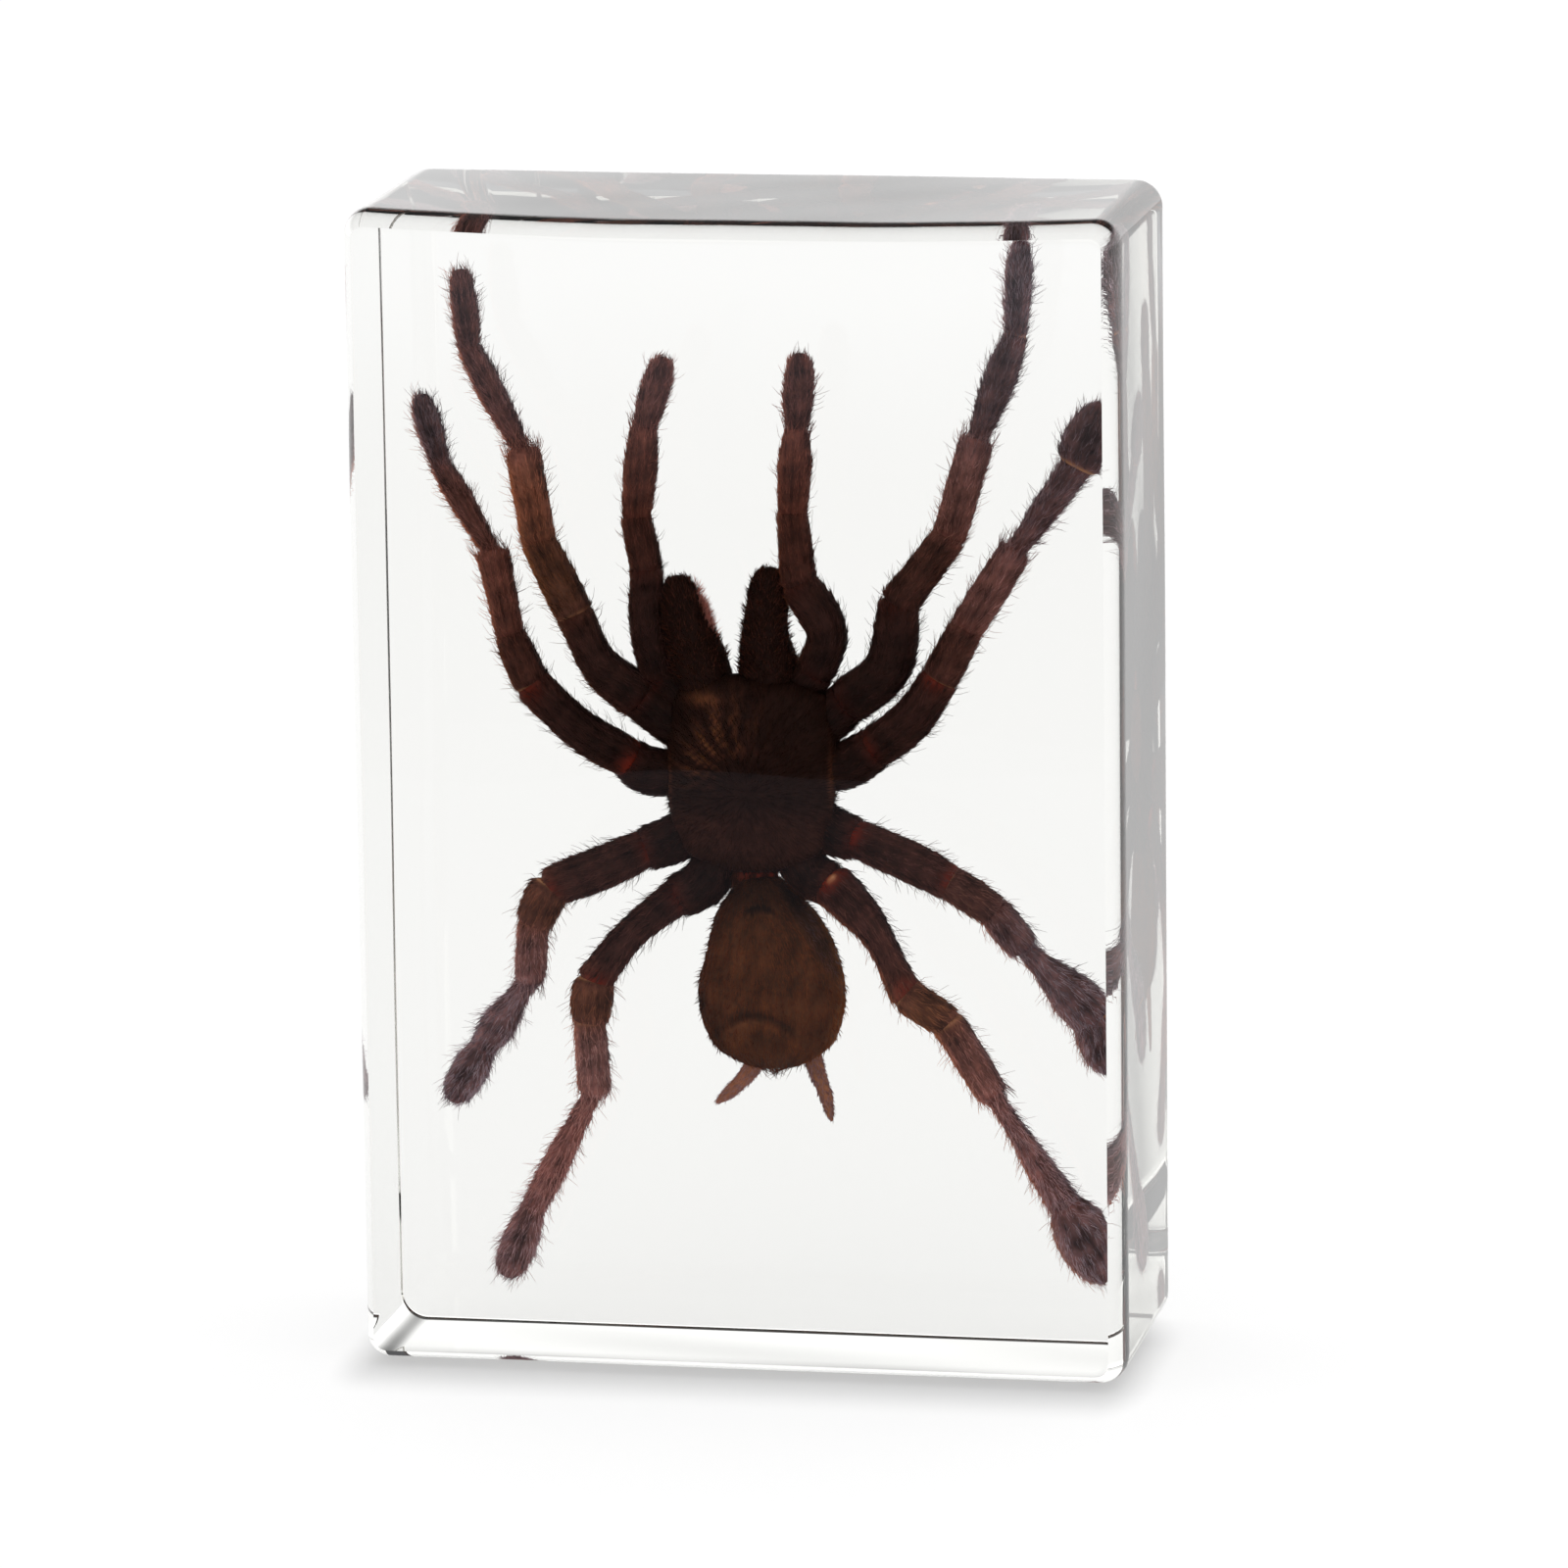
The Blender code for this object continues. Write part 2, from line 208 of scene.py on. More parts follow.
def set_the_flags():
    """
    Two dark cards on the table in front, seen only as mirrored by the resin, so that its faces and edges
    don't show a white table. The far card lightens with distance, as a straight ramp along y. What has
    left a matt surface sees them white, and what looks straight through the resin doesn't see them.
    """
    cards = (("near_flag", FLAG_NEAR_EDGE, FLAG_MIDDLE_EDGE, (FLAG_NEAR_LIGHT, FLAG_NEAR_LIGHT)),
             ("far_flag", FLAG_MIDDLE_EDGE, FLAG_FAR_EDGE, (0.0, FLAG_FAR_LIGHT)))
    for name, near, far, light in cards:
        corners = [(x, edge + x * FLAG_SLANT * (edge != FLAG_NEAR_EDGE), FLAG_HEIGHT)
                   for x, edge in ((-1, far), (1, far), (1, near), (-1, near))]
        finish, tree, coat = new_finish(name.replace("_", " "), {
            "Base Color": (0, 0, 0, 1), "Specular IOR Level": 0.0, "Emission Color": FLAG_TINT})
        history = tree.nodes.new("ShaderNodeLightPath")
        matt, mirrored = history.outputs["Diffuse Depth"], history.outputs["Glossy Depth"]
        glow = ramp_of(tree, place_of(tree, "Object")["Y"], FLAG_FAR_FADE, light)
        glow = number_of(tree, "MAXIMUM", glow, number_of(tree, "MINIMUM", matt, 1.0))
        tree.links.new(glow, coat.inputs["Emission Strength"])
        seen = number_of(tree, "MINIMUM", number_of(tree, "ADD", matt, mirrored), 1.0)
        tree.links.new(seen, coat.inputs["Alpha"])
        card = put_in_scene(name, corners, [(0, 1, 2, 3)], finish)
        card.visible_camera = card.visible_diffuse = card.visible_shadow = False


place_camera()
light_the_room()
lay_the_table()
set_the_flags()
bpy.context.scene.view_settings.view_transform = "Standard"

# The carapace is the hard shield over the front of the body: a low dome with a raised head,
# a pit at its middle and grooves that run out from the pit to the legs. A thin coat of golden
# hair lies along the grooves. Under it lie the chest plate and the lip.
CARAPACE_PATH = ((0.25, -0.3, 46.7), (0.25, -0.5, 52.0), (0.35, -0.5, 58.5), (0.6, -0.3, 65.7))
CARAPACE_WIDTHS = (4.8, 6.9, 7.8, 8.1, 8.1, 7.8, 6.8)
CARAPACE_DEPTHS = (1.9, 2.6, 2.9, 3.0, 3.1, 3.1, 2.6)
PIT = (0.25, 54.4)
PIT_DEPTH = 0.8
GROOVE_ANGLES = (28, 62, 118, 152, 207, 242, 298, 333)
GROOVE_DEPTH = 0.32
EYE_MOUND = (0.9, 63.9)
CHEST_PATH = ((0.25, 2.0, 49.5), (0.25, 2.3, 54.0), (0.25, 2.2, 59.0))
CHEST_WIDTHS = (1.6, 3.6, 4.1, 3.6, 2.6)
CHEST_DEPTHS = (0.7, 1.1, 1.2, 1.1, 0.8)
LIP_PATH = ((0.25, 2.3, 58.7), (0.25, 2.4, 61.0))
COAT_ALLOWANCE = 0.12
CARAPACE_HAIRS = 9000
HAIR_TRIES = 4
HAIR_GRAIN = 0.012
HAIR_ROOT_DEPTH = 0.03 * MM
HAIR_ROOM = np.array([35.9, 12.5, 108.2]) * MM
MOTTLING_SPREAD = (0.75, 1.25)
MOTTLING_MASK = (0.55, 1.0)


def held(value):
    """The value, held between 0 and 1."""
    return np.clip(value, 0, 1)


def bell(*offsets):
    """1 where every offset is 0, and less away from there: e to the power of minus their squares' sum."""
    return np.exp(-sum(offset ** 2 for offset in offsets))


def wave(turns):
    """The sine of so many turns."""
    return np.sin(2 * np.pi * turns)


def smooth(share, values):
    """A Catmull-Rom curve through evenly spaced values: share runs from 0 at the first to 1 at the last."""
    values = np.asarray(values, float)
    padded = np.concatenate([[2 * values[0] - values[1]], values, [2 * values[-1] - values[-2]]])
    last = len(values) - 1
    place = held(share) * last
    i = np.minimum(place.astype(int), last - 1)
    t = (place - i).reshape((-1,) + (1,) * (values.ndim - 1))
    a, b, c, d = (padded[i + k] for k in range(4))
    return b + t * ((c - a) + t * ((2 * a - 5 * b + 4 * c - d) + t * (3 * (b - c) + d - a))) / 2


def unit(vectors):
    """Each row divided by its length."""
    return vectors / np.maximum(np.linalg.norm(vectors, axis=-1, keepdims=True), 1e-12)


def loft(path, widths, depths, near=0.1, far=0.1, thin=COAT_ALLOWANCE, blunt=2.0):
    """
    A closed form carried along a path in mm. At share u of the path it is an oval with the half width and
    half depth given there, less the hair coat. v runs once round it, from its right through its back.
    Over the shares near and far at its ends the oval closes: as a quarter circle at blunt 2, and more
    squarely above that.
    """

    def shape(u, v):
        step = 0.002
        ahead = unit(smooth(u + step, path) - smooth(u - step, path))
        back = unit(np.array([0.0, 1.0, 0.0]) - ahead[:, 1:2] * ahead)
        right = np.cross(back, ahead)
        closing = (1 - held(1 - u / near) ** blunt) ** (1 / blunt)
        closing = closing * (1 - held(1 - (1 - u) / far) ** blunt) ** (1 / blunt)
        wide = (smooth(u, widths) - thin) * closing * np.cos(2 * np.pi * v)
        deep = (smooth(u, depths) - thin) * closing * wave(v)
        return (smooth(u, path) + right * wide[:, None] + back * deep[:, None]) * MM

    return shape


def closed_surface(shape, rows, sides):
    """The form on a grid whose rows crowd towards its ends, with one point at each end, faces outwards."""
    u = 0.5 - 0.5 * np.cos(np.pi * np.arange(1, rows + 1) / (rows + 1))
    v = np.arange(sides) / sides
    u, v = (part.ravel() for part in np.meshgrid(u, v, indexing="ij"))
    u, v = np.append(u, [0.0, 1.0]), np.append(v, [0.0, 0.0])
    here = np.arange(rows * sides).reshape(rows, sides)
    after = np.roll(here, -1, axis=1)
    start, end = np.full(sides, rows * sides), np.full(sides, rows * sides + 1)
    quads = np.stack([here[:-1], after[:-1], after[1:], here[1:]], -1).reshape(-1, 4)
    fans = np.vstack([np.stack([start, after[0], here[0]], -1), np.stack([end, here[-1], after[-1]], -1)])
    return shape(u, v), u, v, quads, fans


def add_piece(name, points, faces, marks, finish):
    """Makes a piece of the spider from arrays. Marks are numbers at each point that its finish reads."""
    piece = put_in_scene(name, points.tolist(), faces, finish)
    for mark, values in marks.items():
        places = piece.data.attributes.new(mark, "FLOAT", "POINT").data
        places.foreach_set("value", np.asarray(values, np.float32))
    piece.data.shade_smooth()
    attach(piece, "root")
    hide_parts("tarantula")


def constant(value):
    """A mark that is the same all over a form."""
    return lambda u, v: value


def skin_piece(name, forms, finish):
    """
    Joins closed forms in one piece. Each form is a dictionary: shape, rows, sides, and as functions of
    (u, v) its tone, and where it has them its gold, dust, red and pale.
    """
    points, faces, start = [], [], 0
    marks = {"tone": [], "gold": [], "dust_and_sheen": [], "red": [], "pale": []}
    for form in forms:
        here, u, v, quads, fans = closed_surface(form["shape"], form["rows"], form["sides"])
        points.append(here)
        faces += (quads + start).tolist() + (fans + start).tolist()
        for mark, values in marks.items():
            values.append(form.get(mark, constant(0))(u, v) + 0 * u)
        start += len(here)
    marks = {mark: np.concatenate(values) for mark, values in marks.items()}
    add_piece(name, np.vstack(points), faces, marks, finish)


def grow_hair(rng, shape, count, length, lift, tone, span=(0.02, 0.98), girth=0.045, sway=0.35, curl=0.35,
              flow=None, dust_and_sheen=None, gold=None, bare=None, tufts=None, spread=0.2):
    """
    Roots spread evenly over the form's area, fewer where it is bare. Each hair leaves it at an angle between
    the lifts, in degrees, leaning along the form or the given flow, swayed to a side, and it curls down as
    the square of its length. Where there are tufts, they say which hairs stand up and are longer. Length
    and girth are in mm.
    """
    tries = count * HAIR_TRIES
    u, v = rng.uniform(*span, tries), rng.uniform(0, 1, tries)
    step = 0.001
    along = shape(u + step, v) - shape(u - step, v)
    around = shape(u, v + step) - shape(u, v - step)
    out = np.cross(around, along)
    area = np.linalg.norm(out, axis=1)
    chance = area if bare is None else area * (1 - held(bare(u, v)))
    keep = np.flatnonzero(rng.uniform(0, np.quantile(area, 0.98), tries) < chance)[:count]
    u, v, out, along, around = u[keep], v[keep], unit(out[keep]), unit(along[keep]), unit(around[keep])
    root = shape(u, v)
    lean = along if flow is None else flow(root, out, along)
    hairs = len(u)
    lean = unit(lean + around * rng.normal(0, sway, hairs)[:, None])
    share = rng.uniform(0, 1, hairs)
    if tufts is not None:
        share = 0.35 * share + 0.65 * tufts(u, v)
    angle = np.radians(lift[0] + (lift[1] - lift[0]) * share)[:, None]
    longer = 1.0 if tufts is None else 0.8 + 0.4 * share
    return {
        "root": root - out * HAIR_ROOT_DEPTH,
        "way": unit(out * np.sin(angle) + lean * np.cos(angle)),
        "curl": unit(lean - out) * rng.uniform(0, curl, hairs)[:, None],
        "length": rng.uniform(*length, hairs) * longer * MM,
        "girth": np.full(hairs, girth * MM),
        "tone": held(
            tone(u, v) * rng.uniform(1 - spread, 1 + spread, hairs) + rng.normal(0, HAIR_GRAIN, hairs)),
        "dust_and_sheen": (dust_and_sheen or constant(0))(u, v) + 0 * u,
        "gold": (gold or constant(0))(u, v) + 0 * u,
    }


def hair_piece(name, batches, finish, rings=2):
    """
    Each hair is three-sided and tapers to a point, most near its tip: at share t its middle is the root plus
    its length times (t way + t t curl). Hairs that would leave the resin are shortened to stay inside it.
    """
    hair = {key: np.concatenate([batch[key] for batch in batches]) for key in batches[0]}
    root, way, curl, length = hair["root"], hair["way"], hair["curl"], hair["length"]
    reach = (way + curl) * length[:, None]
    space = np.where(reach > 0, HAIR_ROOM - root, root + HAIR_ROOM * [1, 1, 0])
    length = length * held((space / np.maximum(np.abs(reach), 1e-9)).min(axis=1))
    side = unit(np.cross(way, [0.3, 0.9, 0.2]))
    other = np.cross(way, side)
    share = 0.85 * np.arange(rings) / (rings - 1) if rings > 2 else np.arange(rings) / rings
    middle = root[:, None] + length[:, None, None] * (
        share[None, :, None] * way[:, None] + share[None, :, None] ** 2 * curl[:, None])
    angle = np.arange(3) * 2 * np.pi / 3
    spoke = side[:, None] * np.cos(angle)[None, :, None] + other[:, None] * np.sin(angle)[None, :, None]
    thick = hair["girth"][:, None] * (1 - 0.6 * share[None] ** rings)
    body = middle[:, :, None] + thick[:, :, None, None] * spoke[:, None]
    tip = root + length[:, None] * (way + curl)
    points = np.concatenate([body.reshape(len(root), -1, 3), tip[:, None]], axis=1)
    start = (np.arange(len(root)) * (3 * rings + 1))[:, None]
    ring = np.arange(3)
    after = (ring + 1) % 3
    quads = np.vstack([np.stack([ring, after, after + 3, ring + 3], -1) + 3 * k for k in range(rings - 1)])
    tips = np.stack([ring + 3 * rings - 3, after + 3 * rings - 3, np.full(3, 3 * rings)], -1)
    faces = (start[:, None] + tips[None]).reshape(-1, 3).tolist()
    faces += (start[:, None] + quads[None]).reshape(-1, 4).tolist()
    marks = {mark: np.repeat(hair[mark], 3 * rings + 1) for mark in ("tone", "dust_and_sheen", "gold")}
    add_piece(name, points.reshape(-1, 3), faces, marks, finish)


def mottling_group():
    """Uneven colour: broad noise and fine noise on Object coordinates, added, as a mask and as a height."""
    group = bpy.data.node_groups.new("mottling", "ShaderNodeTree")
    for name, way in (
            ("Broad scale", "INPUT"), ("Fine scale", "INPUT"), ("Mask", "OUTPUT"), ("Height", "OUTPUT")):
        group.interface.new_socket(name, in_out=way, socket_type="NodeSocketFloat")
    nodes, links = group.nodes, group.links
    given, put_out = nodes.new("NodeGroupInput"), nodes.new("NodeGroupOutput")
    where = nodes.new("ShaderNodeTexCoord")
    broad, fine = nodes.new("ShaderNodeTexNoise"), nodes.new("ShaderNodeTexNoise")
    for noise, scale in ((broad, "Broad scale"), (fine, "Fine scale")):
        noise.inputs["Detail"].default_value = 3
        links.new(where.outputs["Object"], noise.inputs["Vector"])
        links.new(given.outputs[scale], noise.inputs["Scale"])
    both = number_of(group, "ADD", broad.outputs["Fac"], fine.outputs["Fac"])
    links.new(ramp_of(group, both, MOTTLING_SPREAD, MOTTLING_MASK, "SMOOTHSTEP"), put_out.inputs["Mask"])
    links.new(fine.outputs["Fac"], put_out.inputs["Height"])
    return group


MOTTLING = mottling_group()


def blend_colour(tree, factor, first, second):
    """A Mix node from the first colour to the second; each is four numbers or another node's output."""
    mix = tree.nodes.new("ShaderNodeMix")
    mix.data_type = "RGBA"
    tree.links.new(factor, mix.inputs["Factor"])
    for name, colour in (("A", first), ("B", second)):
        socket = next(s for s in mix.inputs if s.name == name and s.type == "RGBA")
        if isinstance(colour, tuple):
            socket.default_value = colour + (1,)
        else:
            tree.links.new(colour, socket)
    return next(s for s in mix.outputs if s.type == "RGBA")


def mark_of(tree, name):
    """The output of a mark that the mesh carries at its points."""
    mark = tree.nodes.new("ShaderNodeAttribute")
    mark.attribute_name = name
    return mark.outputs["Fac"]


def horn_finish(name, dark, light, gilt, membrane, broad=260, fine=1900):
    """
    Dry skin: dark to a bright colour by tone times mottling, where bright runs from light to gilt by gold and
    on to a purple grey by dust, which on the limbs is partly a painted bluish-grey sheen; then to membrane by
    red, and to tan by pale.
    """
    finish, tree, coat = new_finish(name, {"Roughness": 0.55, "Specular IOR Level": 0.06})
    mottling = tree.nodes.new("ShaderNodeGroup")
    mottling.node_tree = MOTTLING
    mottling.inputs["Broad scale"].default_value = broad
    mottling.inputs["Fine scale"].default_value = fine
    uneven = number_of(tree, "MULTIPLY", mark_of(tree, "tone"), mottling.outputs["Mask"])
    bright = blend_colour(tree, mark_of(tree, "gold"), light, gilt)
    bright = blend_colour(tree, mark_of(tree, "dust_and_sheen"), bright, DUST_AND_SHEEN_SKIN)
    colour = blend_colour(tree, uneven, dark, bright)
    colour = blend_colour(tree, mark_of(tree, "red"), colour, membrane)
    colour = blend_colour(tree, mark_of(tree, "pale"), colour, PALE_SKIN)
    tree.links.new(colour, coat.inputs["Base Color"])
    bump = tree.nodes.new("ShaderNodeBump")
    bump.inputs["Strength"].default_value = 0.5
    bump.inputs["Distance"].default_value = 0.1 * MM
    tree.links.new(mottling.outputs["Height"], bump.inputs["Height"])
    tree.links.new(bump.outputs["Normal"], coat.inputs["Normal"])
    return finish


def hair_finish(name, dark, light, dust_and_sheen_colour, gilt):
    """
    Each hair has one colour, from dark to bright by its tone, where bright runs from light to a purple grey
    by its dust, and on to gilt by its gold. On the limbs the tone and gold also hold a painted rim light, and
    the dust a painted sheen.
    """
    finish, tree, coat = new_finish(name, {"Roughness": 0.5, "Specular IOR Level": 0.02})
    bright = blend_colour(tree, mark_of(tree, "dust_and_sheen"), light, dust_and_sheen_colour)
    bright = blend_colour(tree, mark_of(tree, "gold"), bright, gilt)
    tree.links.new(blend_colour(tree, mark_of(tree, "tone"), dark, bright), coat.inputs["Base Color"])
    return finish


PALE_SKIN = (0.62, 0.29, 0.14)
# A purple grey: the colour of some hair and skin, and on the limbs' shaded edges a painted sheen.
DUST_AND_SHEEN_SKIN = (0.37, 0.19, 0.185)
SKIN = horn_finish(
    "spider skin", (0.010, 0.0045, 0.0035), (0.46, 0.135, 0.08), (0.46, 0.17, 0.06), (0.36, 0.03, 0.011))
CARAPACE_HAIR = hair_finish(
    "carapace hair", (0.011, 0.005, 0.0035), (0.30, 0.10, 0.06), (0.3, 0.2, 0.1), (0.44, 0.185, 0.05))


def carapace_relief(x, z):
    """How far the dome stands out, in mm: a raised head and eye mound, less a pit and grooves out from it."""
    across, up = x - PIT[0], z - PIT[1]
    away = np.hypot(across, up)
    angle = np.degrees(np.arctan2(up, across)) % 360
    relief = 0.55 * bell((x - 0.5) / 3.4, (z - 61.0) / 3.6)
    relief += 0.6 * bell((x - EYE_MOUND[0]) / 1.0, (z - EYE_MOUND[1]) / 0.75)
    relief -= PIT_DEPTH * bell(across / 1.3, up / 0.6)
    for groove in GROOVE_ANGLES:
        aside = np.radians((angle - groove + 180) % 360 - 180) * away
        along = held(away / 2) * held((8 - away) / 3)
        relief -= GROOVE_DEPTH * bell(aside / 0.45) * along
    return relief


def carapace_shape(u, v):
    """The lofted dome, pushed out towards the front by its relief, most along its middle."""
    points = CARAPACE_LOFT(u, v)
    facing = held(-wave(v)) ** 0.7
    points[:, 1] -= carapace_relief(points[:, 0] / MM, points[:, 2] / MM) * facing * MM
    return points


def from_pit(root, out, along):
    """Hair on the carapace lies away from the pit, across the surface."""
    away = root - np.array([PIT[0] * MM, 0, PIT[1] * MM])
    away[:, 1] = 0
    return unit(away - out * (away * out).sum(axis=1, keepdims=True))


def gilt_streaks(u, v):
    """
    How golden the dome is: thin streaks out from the pit over the left of the raised head, a blot at its
    front, and a line along each rim.
    """
    x, _, z = (CARAPACE_LOFT(u, v) / MM).T
    across, up = x - PIT[0], z - PIT[1]
    away, angle = np.hypot(across, up), np.arctan2(across, up)
    streaks = np.sin(19 * angle + 1.7 * np.sin(away * 0.8)) * np.sin(43 * angle + away * 0.4)
    streaks = held(0.35 + 0.9 * streaks) ** 2
    side = x + 3.0 - 0.45 * (z - 60.0)
    patch = bell(side / 1.9, (z - 59.5) / 3.6)
    patch += 0.7 * bell((x + 0.7) / 0.5, (z - 58.8) / 1.0)
    patch += 0.35 * bell((x - 1.0) / 1.1, (z - 61.0) / 2.2)
    blot = bell((x + 4.0) / 1.6, (z - 63.4) / 0.6)
    rim = bell((np.abs(x - PIT[0]) - 7.7) / 0.25) * bell((z - 55.5) / 3.2)
    dorsal = held(-wave(v) * 2)
    return dorsal * held(patch * streaks + 0.7 * blot + 0.8 * rim)


def carapace_tone(u, v):
    """Nearly black, a little redder low down, and lighter by its golden streaks."""
    low = held((53.5 - CARAPACE_LOFT(u, v)[:, 2] / MM) / 2.0)
    return 0.036 + 0.06 * low + 0.4 * gilt_streaks(u, v)


CARAPACE_LOFT = loft(CARAPACE_PATH, CARAPACE_WIDTHS, CARAPACE_DEPTHS, near=0.14, far=0.09)
CHEST = loft(CHEST_PATH, CHEST_WIDTHS, CHEST_DEPTHS, near=0.15, far=0.12)
LIP = loft(LIP_PATH, (1.3, 1.2, 0.9), (0.6, 0.6, 0.5), near=0.3, far=0.3)
skin_piece("carapace", [
    {"shape": carapace_shape, "rows": 90, "sides": 120, "tone": carapace_tone, "gold": gilt_streaks},
    {"shape": CHEST, "rows": 30, "sides": 36, "tone": constant(0.25)},
    {"shape": LIP, "rows": 12, "sides": 20, "tone": constant(0.3), "red": constant(0.1)},
], SKIN)
rng = np.random.default_rng(11)
hair_piece("carapace_hair", [
    grow_hair(rng, carapace_shape, CARAPACE_HAIRS, (0.5, 1.1), (6, 20), carapace_tone, flow=from_pit,
              girth=0.032, gold=gilt_streaks),
    grow_hair(rng, carapace_shape, 700, (1.0, 1.7), (15, 50), carapace_tone, flow=from_pit, girth=0.024,
              gold=gilt_streaks),
    grow_hair(rng, CHEST, 900, (0.5, 1.0), (25, 60), constant(0.2), girth=0.03),
], CARAPACE_HAIR)

# The abdomen is a soft bag that has dried a little: wide low down, drawn in to a narrow waist,
# with shallow folds across its back. Its coat is orange brown and sparser than on the legs.
ABDOMEN_PATH = ((0.7, 0.5, 46.6), (1.1, 0.2, 43.0), (1.85, 0.1, 38.0), (1.9, 0.1, 33.0), (2.05, 0.3, 27.8))
ABDOMEN_WIDTHS = (1.6, 3.1, 4.6, 5.8, 6.65, 7.1, 6.85, 6.0, 4.9)
ABDOMEN_DEPTHS = (1.4, 2.7, 3.8, 4.5, 4.9, 5.0, 4.7, 4.0, 3.0)
WAIST_PATH = ((0.25, 0.5, 49.5), (0.3, 0.5, 47.0), (0.4, 0.5, 44.4))
ABDOMEN_HAIRS = 10000
TAIL_HAIRS = 60


def abdomen_shape(u, v):
    """The lofted bag, with folds: long waves round it and two dents that run across its back."""
    points = ABDOMEN_LOFT(u, v)
    x, _, z = points.T / MM
    dorsal = held(-wave(v))
    arc = 33.2 - 0.10 * (x - 1.5) ** 2
    dent = 0.45 * bell((z - arc) / 0.5) * held(1 - ((x - 1.2) / 4.2) ** 2)
    small_arc = 43.2 - 0.25 * (x - 1.6) ** 2
    dent += 0.3 * bell((z - small_arc) / 0.4) * held(1 - ((x - 1.6) / 2.4) ** 2)
    ripple = 0.10 * np.sin(14 * np.pi * v + 5 * u) * np.sin(np.pi * u) + 0.07 * np.sin(40 * u + 9 * v)
    points[:, 1] += (dent + ripple) * dorsal * MM
    return points


def right_flank(x, z):
    """How far a place lies to the right of a line that slants down to the right, full at 0.9 mm."""
    return held((x - 2.6 - 0.62 * (45.5 - z)) / 0.9)


def abdomen_tone(u, v):
    """
    Orange brown with fine streaks down it. Dark: the right flank above a slanting line, a patch on the left
    edge and the waist. The two folds have a painted shade, each with a painted highlight on the lip below
    it. Both sides are a little darker, and the very left edge has a painted rim light.
    """
    x, _, z = (ABDOMEN_LOFT(u, v) / MM).T
    streaks = np.sin(2 * np.pi * 17 * v + 3 * np.sin(5 * u)) + np.sin(2 * np.pi * 41 * v + 4 * u)
    flank = right_flank(x, z) * held((z - 35.8) / 1.5)
    for spot_x, spot_z in ((-4.6, 34.4), (-3.2, 31.5)):
        flank = np.maximum(flank, 1.6 * bell((x - spot_x) / 0.8, (z - spot_z) / 1.0))
    waist = held((z - 41.5) / 3.0)
    fold = z - 33.7 + 0.13 * (x - 0.7) ** 2
    # Painted shade in each fold, with a painted highlight on the lip below it.
    fold_shade = bell(fold / 0.45) - 0.9 * bell((fold + 0.9) / 0.4)
    fold_shade *= np.exp(-((x - 1.2) / 3.6) ** 4)
    small = z - 43.2 + 0.25 * (x - 1.3) ** 2
    small_fold_shade = bell((small - 0.5) / 0.35) - 0.6 * bell(small / 0.3)
    fold_shade += small_fold_shade * np.exp(-((x - 1.2) / 1.6) ** 4)
    low = bell((x - 1.9) / 1.5, (z - 31.0) / 0.9)
    # Both sides a little darker, and a painted rim light along the very left edge.
    edge = np.abs(np.cos(2 * np.pi * v)) ** 4 - 8 * held(-np.cos(2 * np.pi * v)) ** 16
    blots = 0.22 * np.sin(1.1 * x + 0.7 * z) * np.sin(0.8 * z - 0.9 * x + 1)
    blots += 0.12 * np.sin(2.3 * x - 1.7 * z)
    shade = 1 - 0.38 * flank - 0.6 * waist - 0.65 * fold_shade - 0.45 * low - 0.1 * edge
    return np.clip(0.33 * shade * (1 + 0.08 * streaks) * (1 + blots), 0.03, 1)


def abdomen_gold(u, v):
    """Golden in the middle, redder towards the edges, and golden along the very left edge as painted rim
    light.
    """
    return 0.45 * np.abs(wave(v)) + held(-np.cos(2 * np.pi * v)) ** 10 + 0 * u


def flank_dust(u, v):
    """Dusty purple hair over the right flank."""
    x, _, z = (ABDOMEN_LOFT(u, v) / MM).T
    return right_flank(x, z)


ABDOMEN_LOFT = loft(ABDOMEN_PATH, ABDOMEN_WIDTHS, ABDOMEN_DEPTHS, near=0.06, far=0.16)
WAIST = loft(WAIST_PATH, (2.2, 2.4, 2.3), (1.6, 1.5, 1.4), near=0.1, far=0.1)
ABDOMEN_SKIN = horn_finish(
    "abdomen skin", (0.012, 0.006, 0.004), (0.28, 0.085, 0.035), (0.30, 0.105, 0.03), (0.34, 0.03, 0.011),
    broad=170, fine=1500)
ABDOMEN_HAIR = hair_finish(
    "abdomen hair", (0.014, 0.007, 0.005), (0.36, 0.095, 0.036), (0.38, 0.26, 0.28), (0.44, 0.14, 0.038))


def waist_red(u, v):
    """Dark red skin round the waist, brightest in a spot at its right."""
    spot = bell((v - 0.56) / 0.07, (u - 0.62) / 0.12)
    return 0.2 + 0.15 * wave(3 * v) + 0.7 * spot


skin_piece("abdomen", [
    {"shape": abdomen_shape, "rows": 110, "sides": 140, "tone": abdomen_tone, "gold": abdomen_gold},
    {"shape": WAIST, "rows": 14, "sides": 24, "tone": constant(0.1), "red": waist_red},
], ABDOMEN_SKIN)
rng = np.random.default_rng(12)
hair_piece("abdomen_hair", [
    grow_hair(rng, abdomen_shape, ABDOMEN_HAIRS, (0.4, 0.9), (6, 22), abdomen_tone, girth=0.032, sway=0.15,
              gold=abdomen_gold, dust_and_sheen=flank_dust),
    grow_hair(rng, abdomen_shape, 900, (0.5, 1.0), (30, 70), abdomen_tone, girth=0.04, dust_and_sheen=flank_dust),
    grow_hair(rng, abdomen_shape, TAIL_HAIRS, (1.2, 2.0), (0, 50), constant(0.3), span=(0.985, 0.999),
              girth=0.035),
    grow_hair(rng, WAIST, 700, (0.4, 0.9), (15, 50), constant(0.1), girth=0.04),
], ABDOMEN_HAIR)

